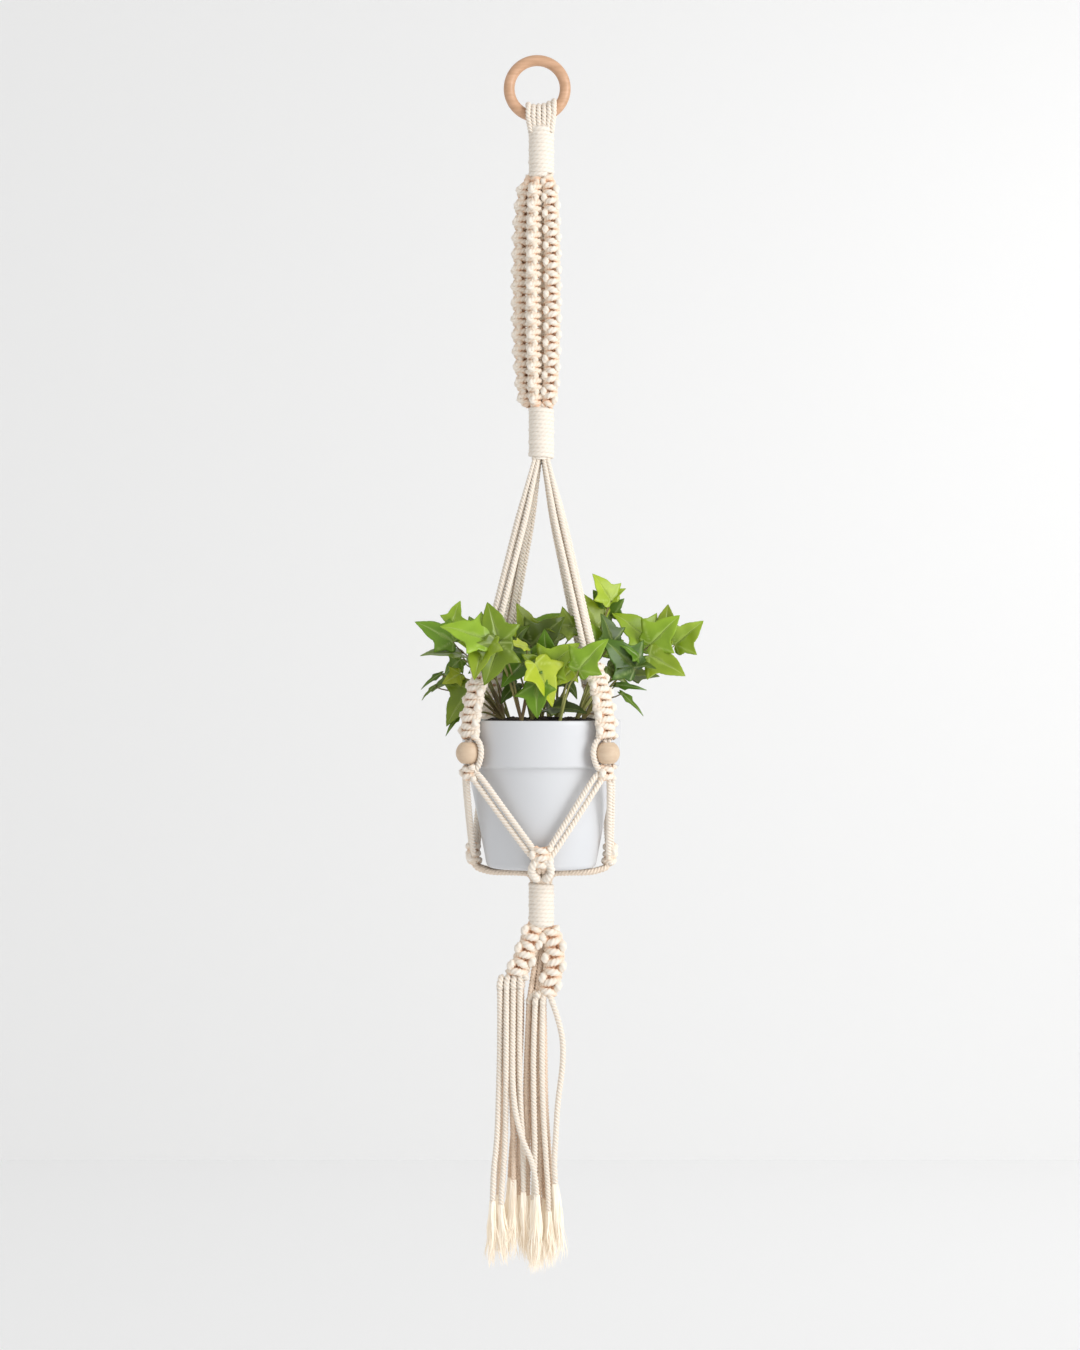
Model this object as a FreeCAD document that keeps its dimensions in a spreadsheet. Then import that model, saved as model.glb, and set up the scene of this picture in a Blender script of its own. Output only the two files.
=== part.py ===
"""Hanging macrame planter: wooden ring, knotted cord hanger, beads, pot, ivy and tassel.

Units are millimetres. The origin is the hang point, where a hook bears on the inside of the
ring. +Z is up and the front of the planter faces -Y. Azimuths are degrees round +Z, measured
from the front (-Y) towards +X.
"""
import FreeCAD, Part
import math
import os
import Sketcher

os.makedirs("parts", exist_ok=True)
doc = FreeCAD.newDocument("planter")
Vector = FreeCAD.Vector

# ---------------------------------------------------------------- driving dimensions
# alias, value in mm (azimuths in degrees), meaning
DIMENSIONS = [
    ("cord", 5.2, "diameter of the three-ply cotton cord"),
    ("ring_radius", 23.0, "ring centreline radius"),
    ("ring_tube", 4.5, "radius of the ring's round section"),
    ("ring_shift", -3.4, "ring centre is this far in X from the hanger's axis"),
    ("loop_bore", 7.2, "radius of the space the loops leave for the ring"),
    ("loop_outer", 11.3, "outside radius of the loops round the ring"),
    ("loop_half_width", 12.8, "half width of the row of loops"),
    ("top_wrap_top", -47.2, "height of the top wrap's upper end"),
    ("top_wrap_end", -91.7, "height of the top wrap's lower end"),
    ("mid_wrap_top", -278.9, "height of the middle wrap's upper end"),
    ("mid_wrap_end", -322.5, "height of the middle wrap's lower end"),
    ("low_wrap_top", -667.7, "height of the bottom wrap's upper end"),
    ("low_wrap_end", -705.4, "height of the bottom wrap's lower end"),
    ("wrap_outer", 10.8, "outside radius of every wrap"),
    ("bundle", 7.9, "radius of the strands squeezed inside a wrap"),
    ("arm_top", -325.0, "height where the arms leave the middle bundle"),
    ("arm_knots_top", -490.6, "height where the arm sennits begin"),
    ("arm_knots_end", -551.0, "height where the arm sennits end"),
    ("arm_radius", 58.8, "arm centre from the axis at the top of its sennit"),
    ("arm_end_radius", 74.2, "arm centre from the axis at the bottom of its sennit"),
    ("bead", 10.0, "bead radius"),
    ("bead_half_height", 9.3, "half the height of a bead between its flats"),
    ("bead_bore", 5.2, "radius of the hole through a bead"),
    ("bead_height", -561.6, "height of the bead centres"),
    ("bead_circle", 75.6, "bead centres from the axis"),
    ("core", 4.4, "radius of the two core cords together inside a bead"),
    ("bead_knot_top", -572.4, "height of the top of the knot under a bead"),
    ("bead_knot_end", -584.4, "height of the bottom of the knot under a bead"),
    ("basket_knot_height", -645.0, "height of the basket knot centres"),
    ("basket_circle", 55.6, "basket knot centres from the axis"),
    ("pot_rim_top", -535.7, "height of the pot's top edge"),
    ("pot_rim_end", -573.0, "height of the lower edge of the pot's rim band"),
    ("pot_floor", -657.0, "height of the pot's underside"),
    ("pot_rim_radius", 65.2, "outside radius of the rim at the top"),
    ("pot_band_radius", 64.2, "outside radius of the rim band's lower edge"),
    ("pot_neck_radius", 61.0, "outside radius of the body just under the rim band"),
    ("pot_base_radius", 44.8, "outside radius at the underside, before rounding"),
    ("pot_wall", 3.0, "pot wall thickness"),
    ("soil_edge", -541.0, "height of the soil at the pot wall"),
    ("soil_crown", -534.5, "height of the soil in the middle"),
    ("front_left", 309.0, "azimuth of the front left arm"),
    ("front_right", 44.5, "azimuth of the front right arm"),
    ("back_right", 140.0, "azimuth of the back right arm"),
    ("back_left", 215.0, "azimuth of the back left arm"),
]

sheet = doc.addObject("Spreadsheet::Sheet", "dims")
sheet.Label = "dims"
for row, (alias, value, meaning) in enumerate(DIMENSIONS, start=1):
    sheet.set(f"A{row}", alias)
    sheet.set(f"B{row}", str(value))
    sheet.set(f"C{row}", meaning)
    sheet.setAlias(f"B{row}", alias)
doc.recompute()

ARMS = ["front_left", "front_right", "back_right", "back_left"]
# basket knot, azimuth, and the two arms whose slings meet in it
BASKET_KNOTS = [
    ("front", 0.0, ["front_left", "front_right"]),
    ("right", 90.0, ["front_right", "back_right"]),
    ("back", 180.0, ["back_right", "back_left"]),
    ("left", 262.0, ["back_left", "front_left"]),
]


def size(alias):
    """A driving dimension, read back from the sheet."""
    return float(sheet.get(alias))


def polar(radius, azimuth, height):
    """Point at a radius and azimuth from the front."""
    angle = math.radians(azimuth)
    return Vector(radius * math.sin(angle), -radius * math.cos(angle), height)


def polar_place(radius, azimuth, height):
    """Placement expression at a radius and azimuth, local X turned to run round the axis."""
    angle = f"({azimuth}) * 1deg"
    return (f"placement(vector(({radius}) * sin({angle}); -({radius}) * cos({angle}); {height}); "
            f"rotation(vector(0; 0; 1); {azimuth}))")


def flat_place(x, y, height, turn=0):
    """Placement expression at x, y and height, turned about Z."""
    return f"placement(vector({x}; {y}; {height}); rotation(vector(0; 0; 1); {turn}))"


# ---------------------------------------------------------------- builders
def primitive(kind, name, placement=None, **expressions):
    """A Part primitive whose sizes are all bound to the sheet."""
    item = doc.addObject(f"Part::{kind}", name)
    item.Label = name
    for prop, expression in expressions.items():
        item.setExpression(prop, expression)
    if placement:
        item.setExpression("Placement", placement)
    return item


def loft(name, sections):
    """A smooth solid through horizontal ellipses: (half width, half depth, placement)."""
    outlines = []
    for index, (half_width, half_depth, placement) in enumerate(sections):
        outlines.append(primitive("Ellipse", f"{name}_section_{index}", placement,
                                  MajorRadius=str(half_width), MinorRadius=str(half_depth)))
    solid = doc.addObject("Part::Loft", name)
    solid.Label = name
    solid.Sections = outlines
    solid.Solid = True
    solid.Ruled = False
    return solid


def fuse(name, items):
    joined = doc.addObject("Part::MultiFuse", name)
    joined.Label = name
    joined.Shapes = items
    return joined


def cut(name, base, tool):
    rest = doc.addObject("Part::Cut", name)
    rest.Label = name
    rest.Base = base
    rest.Tool = tool
    return rest


def body_sketch(body, role, name):
    """A sketch on one of the body's own origin planes."""
    plane = next(f for f in body.Origin.OriginFeatures if f.Role == role)
    sketch = body.newObject("Sketcher::SketchObject", name)
    sketch.AttachmentSupport = [(plane, "")]
    sketch.MapMode = "FlatFace"
    return sketch


def tube_body(name, inner, outer, bottom, top):
    """A vertical sleeve with rounded outside edges, as a padded pair of circles."""
    body = doc.addObject("PartDesign::Body", name)
    body.Label = name
    sketch = body_sketch(body, "XY_Plane", f"{name}_outline")
    for radius in (outer, inner):
        index = sketch.addGeometry(Part.Circle(Vector(0, 0, 0), Vector(0, 0, 1), size(radius)))
        sketch.addConstraint(Sketcher.Constraint("Coincident", index, 3, -1, 1))
        sketch.addConstraint(Sketcher.Constraint("Radius", index, size(radius)))
        sketch.setExpression(f"Constraints[{sketch.ConstraintCount - 1}]", f"dims.{radius}")
    sketch.setExpression("AttachmentOffset.Base.z", f"dims.{bottom}")
    pad = body.newObject("PartDesign::Pad", f"{name}_pad")
    pad.Profile = sketch
    pad.setExpression("Length", f"dims.{top} - dims.{bottom}")
    body.Tip = pad
    doc.recompute()
    rims = [f"Edge{number}" for number, edge in enumerate(pad.Shape.Edges, start=1)
            if isinstance(edge.Curve, Part.Circle) and abs(edge.Curve.Radius - size(outer)) < 0.01]
    fillet = body.newObject("PartDesign::Fillet", f"{name}_rounding")
    fillet.Base = (pad, rims)
    fillet.Radius = 1.2
    body.Tip = fillet
    return body


def revolved_body(name, profile, placement=None):
    """A turned body: profile is a closed list of (radius, height) expression pairs."""
    body = doc.addObject("PartDesign::Body", name)
    body.Label = name
    sketch = body_sketch(body, "XZ_Plane", f"{name}_profile")
    values = [[float(sheet_value(text)) for text in pair] for pair in profile]
    count = len(profile)
    for index in range(count):
        start = Vector(*values[index], 0)
        end = Vector(*values[(index + 1) % count], 0)
        sketch.addGeometry(Part.LineSegment(start, end))
    for index in range(count):
        sketch.addConstraint(
            Sketcher.Constraint("Coincident", index, 2, (index + 1) % count, 1))
    for index, pair in enumerate(profile):
        for kind, text, value in zip(("DistanceX", "DistanceY"), pair, values[index]):
            if abs(value) < 1e-9:
                axis = -2 if kind == "DistanceX" else -1
                sketch.addConstraint(Sketcher.Constraint("PointOnObject", index, 1, axis))
                continue
            sketch.addConstraint(Sketcher.Constraint(kind, -1, 1, index, 1, value))
            sketch.setExpression(f"Constraints[{sketch.ConstraintCount - 1}]", text)
    turned = body.newObject("PartDesign::Revolution", f"{name}_turned")
    turned.Profile = sketch
    turned.ReferenceAxis = (sketch, ["V_Axis"])
    turned.Angle = 360
    body.Tip = turned
    if placement:
        body.setExpression("Placement", placement)
    return body


def sheet_value(text):
    """The number a sheet expression stands for, used for a sketch's first guess."""
    names = {alias: size(alias) for alias, _, _ in DIMENSIONS}
    total = 0.0
    for term in text.replace("- ", "+ -").split("+"):
        term = term.strip()
        sign = -1.0 if term.startswith("-dims") or term.startswith("-(") else 1.0
        word = term.lstrip("-").replace("dims.", "")
        total += sign * names[word] if word in names else float(term)
    return total


def round_edges(body, radius, wanted):
    """Fillet the circular edges of a turned body that `wanted(edge)` accepts."""
    doc.recompute()
    base = body.Tip
    names = [f"Edge{number}" for number, edge in enumerate(base.Shape.Edges, start=1)
             if isinstance(edge.Curve, Part.Circle) and wanted(edge)]
    fillet = body.newObject("PartDesign::Fillet", f"{body.Name}_rounding_{len(names)}")
    fillet.Base = (base, names)
    fillet.Radius = radius
    body.Tip = fillet
    doc.recompute()
    return fillet


def rounded_route(points):
    """Straight runs joined by tangent arcs, as one wire."""
    turns = []
    for before, corner, after in zip(points, points[1:], points[2:]):
        back = (before - corner).normalize()
        ahead = (after - corner).normalize()
        half_turn = (math.pi - back.getAngle(ahead)) / 2
        setback = 0.45 * min((before - corner).Length, (after - corner).Length)
        radius = setback / math.tan(half_turn)
        middle_way = (back + ahead).normalize()
        reach = math.hypot(setback, radius) - radius
        turns.append((corner + back * setback, corner + middle_way * reach,
                      corner + ahead * setback, radius))
    edges = []
    here = points[0]
    for start, middle, end, _ in turns:
        edges.append(Part.LineSegment(here, start).toShape())
        edges.append(Part.Arc(start, middle, end).toShape())
        here = end
    edges.append(Part.LineSegment(here, points[-1]).toShape())
    return Part.Wire(edges), min(turn[3] for turn in turns)


def free_cord(name, points):
    """A hanging strand: a circle of the cord's size swept along its rounded route."""
    corners = [Vector(*point) for point in points]
    route, tightest = rounded_route(corners)
    start = route.Edges[0]
    section = Part.Circle(corners[0], start.tangentAt(start.FirstParameter), size("cord") / 2)
    pipe = route.makePipeShell([Part.Wire(section.toShape())], True, False)
    item = doc.addObject("Part::Feature", name)
    item.Label = name
    item.Shape = pipe
    item.Placement = FreeCAD.Placement()
    expected = math.pi * (size("cord") / 2) ** 2 * route.Length
    print(f"{name}: length {route.Length:.1f}, tightest radius {tightest:.0f}, "
          f"volume {pipe.Volume / expected:.3f} of section x length")
    return item


# ---------------------------------------------------------------- ring and loops
def build_ring():
    """Turned wooden ring facing the front; the hook bears on its inside at the origin."""
    drop = "sqrt((dims.ring_radius - dims.ring_tube)^2 - dims.ring_shift^2)"
    facing = f"placement(vector(dims.ring_shift; 0; -{drop}); rotation(vector(1; 0; 0); 90))"
    ring = primitive("Torus", "wooden_ring", facing,
                     Radius1="dims.ring_radius", Radius2="dims.ring_tube")
    sleeve = primitive("Torus", "loop_sleeve", facing,
                       Radius1="dims.ring_radius", Radius2="dims.loop_outer")
    bore = primitive("Torus", "loop_space", facing,
                     Radius1="dims.ring_radius", Radius2="dims.loop_bore")
    row = primitive("Box", "loop_row",
                    flat_place("-dims.loop_half_width", -15, "dims.top_wrap_top"),
                    Length="2 * dims.loop_half_width", Width="30", Height="24")
    loops = doc.addObject("Part::Common", "ring_loops")
    loops.Label = "ring_loops"
    loops.Base = cut("loop_shell", sleeve, bore)
    loops.Tool = row
    return [ring, loops]


# ---------------------------------------------------------------- wraps and their bundles
def build_wraps():
    wraps = []
    for name in ("top", "mid", "low"):
        top, end = f"{name}_wrap_top", f"{name}_wrap_end"
        wraps.append(tube_body(f"{name}_wrap", "bundle", "wrap_outer", end, top))
        wraps.append(primitive("Cylinder", f"{name}_bundle", flat_place(0, 0, f"dims.{end}"),
                               Radius="dims.bundle", Height=f"dims.{top} - dims.{end}"))
    return wraps


# ---------------------------------------------------------------- upper sennits
# name, x and y of the middle, half width, half depth, turn of the section
UPPER_SENNITS = [
    ("upper_sennit_right", 9.0, -7.6, 7.8, 4.6, 0),
    ("upper_sennit_front", -6.4, -6.2, 7.8, 5.0, 90),
    ("upper_sennit_left", -17.0, 4.8, 7.8, 5.0, 60),
    ("upper_sennit_back", 4.0, 8.4, 7.8, 4.6, 0),
]


def build_upper_sennits():
    """Four knotted bars that leave the top wrap, bow outwards and gather in the middle wrap."""
    # share of the way down, how far out of the bundle, share of the full section
    stations = [(0.0, 0.42, 0.46), (0.08, 0.80, 0.92), (0.30, 0.98, 1.0),
                (0.66, 1.0, 1.0), (0.93, 0.78, 0.92), (1.0, 0.42, 0.46)]
    made = []
    for name, x, y, half_width, half_depth, turn in UPPER_SENNITS:
        sections = []
        for down, out, share in stations:
            height = f"dims.top_wrap_end + {down} * (dims.mid_wrap_top - dims.top_wrap_end)"
            sections.append((half_width * share, half_depth * share,
                             flat_place(x * out, y * out, height, turn)))
        made.append(loft(name, sections))
    return made


# ---------------------------------------------------------------- arms
def build_arms():
    """Straight cords from the middle bundle, then a short sennit against the pot's rim."""
    made = []
    for arm in ARMS:
        azimuth = f"dims.{arm}"
        start = polar_place("5.1", azimuth, "dims.arm_top")
        knots_start = polar_place("dims.arm_radius", azimuth, "dims.arm_knots_top")
        made.append(loft(f"arm_cords_{arm}", [(2.8, 2.6, start), (7.4, 5.4, knots_start)]))
        sections = [(7.4, 5.4, knots_start)]
        for down, out, half_width in ((0.36, 0.60, 8.2), (0.72, 0.90, 8.4), (1.0, 1.0, 7.8)):
            radius = f"dims.arm_radius + {out} * (dims.arm_end_radius - dims.arm_radius)"
            height = f"dims.arm_knots_top + {down} * (dims.arm_knots_end - dims.arm_knots_top)"
            sections.append((half_width, 5.0, polar_place(radius, azimuth, height)))
        made.append(loft(f"arm_sennit_{arm}", sections))
    return made


# ---------------------------------------------------------------- beads and the knots under them
def build_bead(arm):
    """A turned bead: a flattened ball with a plain hole."""
    place = polar_place("dims.bead_circle", f"dims.{arm}", "dims.bead_height")
    ball = primitive("Sphere", f"ball_{arm}", place, Radius="dims.bead")
    slab = primitive("Cylinder", f"slab_{arm}",
                     polar_place("dims.bead_circle", f"dims.{arm}",
                                 "dims.bead_height - dims.bead_half_height"),
                     Radius="dims.bead + 2", Height="2 * dims.bead_half_height")
    flattened = doc.addObject("Part::Common", f"flattened_{arm}")
    flattened.Base = ball
    flattened.Tool = slab
    hole = primitive("Cylinder", f"hole_{arm}",
                     polar_place("dims.bead_circle", f"dims.{arm}", "dims.bead_height - 15"),
                     Radius="dims.bead_bore", Height="30")
    return cut(f"bead_{arm}", flattened, hole)


def build_bead_knot(arm):
    """Square knot under a bead, with the core through the bead and a cord down each side."""
    azimuth = f"dims.{arm}"
    core = primitive("Cylinder", f"core_{arm}",
                     polar_place("dims.bead_circle", azimuth, "dims.bead_knot_top - 2"),
                     Radius="dims.core", Height="dims.arm_knots_end - dims.bead_knot_top + 2")
    hoop_place = (f"{polar_place('dims.bead_circle', azimuth, 'dims.bead_height')}"
                  f" * placement(vector(0; 0; 0); rotation(vector(1; 0; 0); 90))")
    hoop = primitive("Torus", f"hoop_{arm}", hoop_place,
                     Radius1="dims.bead + 0.5 + dims.cord / 2", Radius2="dims.cord / 2")
    knot = loft(f"knot_{arm}", [
        (8.4, 5.0, polar_place("73.6", azimuth, "dims.bead_knot_top")),
        (9.6, 5.8, polar_place("73.2", azimuth, "(dims.bead_knot_top + dims.bead_knot_end) / 2")),
        (8.0, 5.0, polar_place("72.2", azimuth, "dims.bead_knot_end")),
    ])
    whole = fuse(f"bead_knot_whole_{arm}", [core, hoop, knot])
    below = primitive("Cylinder", f"below_sennit_{arm}",
                      polar_place("dims.bead_circle", azimuth, "dims.bead_knot_end"),
                      Radius="30", Height="dims.arm_knots_end - dims.bead_knot_end")
    item = doc.addObject("Part::Common", f"bead_knot_{arm}")
    item.Label = f"bead_knot_{arm}"
    item.Base = whole
    item.Tool = below
    return item


# ---------------------------------------------------------------- basket
def build_basket_knot(side, azimuth):
    """The knot where slings from two arms meet against the pot."""
    middle = "dims.basket_knot_height"
    return loft(f"basket_knot_{side}", [
        (6.4, 3.6, polar_place("dims.basket_circle + 0.6", azimuth, f"{middle} + 9.5")),
        (10.4, 5.2, polar_place("dims.basket_circle + 1.0", azimuth, f"{middle} + 4")),
        (10.8, 5.6, polar_place("dims.basket_circle", azimuth, f"{middle} - 3")),
        (7.0, 4.2, polar_place("dims.basket_circle - 2", azimuth, f"{middle} - 10.5")),
    ])


def straight_cord(name, start, end):
    """A round cord between two points."""
    reach = end - start
    item = doc.addObject("Part::Cylinder", name)
    item.setExpression("Radius", "dims.cord / 2")
    item.Height = reach.Length
    item.Placement = FreeCAD.Placement(start, FreeCAD.Rotation(Vector(0, 0, 1), reach))
    return item


def build_slings(arm, bead_knot, basket_knots):
    """Two pairs of cords from the knot under a bead to the basket knots on either side."""
    azimuth = size(arm)
    cords = []
    for side, knot_azimuth, arms in BASKET_KNOTS:
        if arm not in arms:
            continue
        hand = math.copysign(1.0, (knot_azimuth - azimuth + 540) % 360 - 180)
        start_turn = hand * math.degrees(7.5 / 72.6)
        end_turn = hand * math.degrees(6.6 / size("basket_circle"))
        start = polar(72.4, azimuth + start_turn, size("bead_knot_end") + 2)
        end = polar(size("basket_circle") + 0.8, knot_azimuth - end_turn,
                    size("basket_knot_height") + 3)
        outward = Vector(start.x + end.x, start.y + end.y, 0)
        beside = (end - start).cross(outward).normalize() * (size("cord") / 2 + 0.1)
        for index, offset in enumerate((beside, -beside)):
            cords.append(straight_cord(f"sling_{arm}_{side}_{index}", start + offset,
                                       end + offset))
    below_bead = cut(f"slings_below_{arm}", fuse(f"slings_whole_{arm}", cords), bead_knot)
    return cut(f"sling_cords_{arm}", below_bead, basket_knots)


def build_under_pot(knots):
    """Ribbons of four cords from each basket knot, under the pot, to the bottom bundle."""
    pieces = [primitive("Cylinder", "under_pot_hub", flat_place(0, 0, "dims.low_wrap_top"),
                        Radius="dims.wrap_outer", Height="dims.pot_floor - dims.low_wrap_top - 0.8")]
    for side, azimuth, _ in BASKET_KNOTS:
        ribbon = primitive("Box", f"ribbon_{side}",
                           f"{polar_place('48', azimuth, 'dims.pot_floor - 0.8 - dims.cord')}"
                           f" * placement(vector(-7; 0; 0); rotation(vector(0; 0; 1); 0))",
                           Length="14", Width="48", Height="dims.cord")
        riser = primitive("Box", f"riser_{side}",
                          f"{polar_place('47', azimuth, 'dims.pot_floor - 0.8 - dims.cord')}"
                          f" * placement(vector(-7; 0; 0); rotation(vector(1; 0; 0); 52))",
                          Length="14", Width="dims.cord", Height="13")
        pieces += [ribbon, riser]
    return cut("under_pot_cords", fuse("under_pot_whole", pieces), knots)


# ---------------------------------------------------------------- pot and soil
def build_pot():
    """Turned pot with a deep rim band; the inside follows the outside."""
    pot = revolved_body("pot", [
        ("0", "dims.pot_floor"),
        ("dims.pot_base_radius", "dims.pot_floor"),
        ("dims.pot_neck_radius", "dims.pot_rim_end - 0.6"),
        ("dims.pot_band_radius", "dims.pot_rim_end"),
        ("dims.pot_rim_radius", "dims.pot_rim_top"),
        ("dims.pot_rim_radius - dims.pot_wall", "dims.pot_rim_top"),
        ("dims.pot_neck_radius - dims.pot_wall", "dims.pot_rim_end"),
        ("dims.pot_base_radius - dims.pot_wall", "dims.pot_floor + dims.pot_wall"),
        ("0", "dims.pot_floor + dims.pot_wall"),
    ])
    round_edges(pot, 4.0, lambda edge: edge.Curve.Center.z < size("pot_floor") + 0.1
                and edge.Curve.Radius > 40)
    round_edges(pot, 0.9, lambda edge: edge.Curve.Center.z > size("pot_rim_top") - 0.1)
    return pot


def build_soil():
    """Soil filling the pot, mounded to the level of the rim."""
    return revolved_body("soil", [
        ("0", "dims.pot_floor + dims.pot_wall"),
        ("dims.pot_base_radius - dims.pot_wall", "dims.pot_floor + dims.pot_wall"),
        ("dims.pot_neck_radius - dims.pot_wall", "dims.pot_rim_end"),
        ("dims.pot_neck_radius - dims.pot_wall", "dims.soil_edge"),
        ("44", "dims.soil_crown - 1"),
        ("0", "dims.soil_crown"),
    ])


# ---------------------------------------------------------------- tassel
# strand name and its hand-chosen route from the knot to the frayed tip
TASSEL_STRANDS = [
    ("strand_01", [(-34.0, -3.2, -750), (-33.6, -3.2, -792), (-34.8, -3.9, -838),
                   (-36.0, -4.4, -880), (-40.2, -5.0, -912), (-41.0, -5.0, -984)]),
    ("strand_02", [(-28.4, -3.2, -750), (-28.8, -7.4, -798), (-28.8, -6.0, -856),
                   (-30.4, -4.2, -900), (-34.0, -3.5, -934), (-31.0, -3.0, -982)]),
    ("strand_03", [(-22.8, -3.2, -750), (-23.6, -3.8, -796), (-23.4, -9.0, -846),
                   (-16.5, -10.3, -877), (-5.5, -10.3, -900), (-3.0, -9.8, -934),
                   (-0.5, -9.4, -987)]),
    ("strand_04", [(-17.2, -3.2, -750), (-18.0, -3.0, -802), (-17.4, -3.2, -852),
                   (-14.0, -3.6, -892), (-14.8, -4.0, -980)]),
    ("strand_05", [(-32.6, 3.2, -750), (-32.0, 4.0, -806), (-33.2, 4.6, -862),
                   (-34.6, 4.0, -920), (-37.6, 3.0, -976)]),
    ("strand_06", [(-27.2, 3.2, -750), (-26.2, 3.6, -806), (-23.4, 1.4, -862),
                   (-22.4, 0.4, -902), (-23.2, -0.6, -978)]),
    ("strand_07", [(-21.8, 3.2, -750), (-20.8, 4.0, -798), (-18.2, 5.4, -850),
                   (-18.4, 5.2, -900), (-19.4, 5.4, -980)]),
    ("strand_08", [(-16.4, 3.2, -750), (-15.8, 10.0, -796), (-21.4, 10.4, -856),
                   (-26.0, 8.0, -910), (-28.2, 7.0, -972)]),
    ("strand_09", [(-4.8, -5.4, -765), (-6.6, -4.8, -802), (-6.2, -4.6, -850),
                   (-5.0, -4.2, -892), (-6.6, -3.8, -932), (-8.6, -3.6, -984)]),
    ("strand_10", [(1.2, -5.4, -765), (0.4, -4.8, -806), (1.2, -4.4, -850),
                   (3.6, -4.2, -892), (6.4, -3.8, -930), (6.6, -3.2, -986)]),
    ("strand_11", [(8.4, -5.4, -765), (16.2, -4.8, -786), (18.6, -4.4, -812),
                   (13.2, -4.6, -850), (12.0, -4.6, -876), (10.2, -4.4, -900),
                   (12.8, -4.2, -930), (19.4, -4.0, -978)]),
    ("strand_12", [(-9.8, 0.2, -765), (-11.6, 1.6, -804), (-13.0, 1.6, -850),
                   (-10.2, 2.0, -896), (-12.6, 2.0, -984)]),
    ("strand_13", [(-4.0, 0.2, -765), (-2.8, 1.0, -806), (-2.8, 1.4, -852),
                   (-0.8, 2.0, -894), (-3.4, 2.4, -990)]),
    ("strand_14", [(1.8, 0.4, -765), (2.8, 1.2, -804), (3.2, 1.6, -850),
                   (6.4, 2.4, -896), (9.2, 2.4, -932), (10.4, 2.6, -985)]),
    ("strand_15", [(-6.6, 5.9, -765), (-7.6, 7.0, -810), (-8.4, 7.8, -860),
                   (-4.8, 8.2, -905), (-6.6, 8.6, -988)]),
    ("strand_16", [(-0.8, 5.9, -765), (-0.6, 7.2, -810), (0.6, 7.8, -858),
                   (2.8, 8.2, -905), (3.4, 8.8, -990)]),
]


def build_tassel():
    """Two chains of knots and the sixteen strands that hang from them."""
    left = loft("tassel_knots_left", [
        (5.2, 5.0, flat_place(-5.4, 0, -708.5)),
        (9.6, 7.0, flat_place(-11.0, -0.2, -719)),
        (10.6, 7.2, flat_place(-15.4, 0, -734)),
        (12.4, 6.6, flat_place(-24.8, 0, -750)),
    ])
    right = loft("tassel_knots_right", [
        (5.2, 5.0, flat_place(5.4, 0, -708.5)),
        (7.8, 7.2, flat_place(9.4, 0, -720)),
        (8.0, 7.8, flat_place(9.2, 0, -742)),
        (12.2, 9.0, flat_place(1.4, 0, -765)),
    ])
    return [left, right] + [free_cord(name, points) for name, points in TASSEL_STRANDS]


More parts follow.
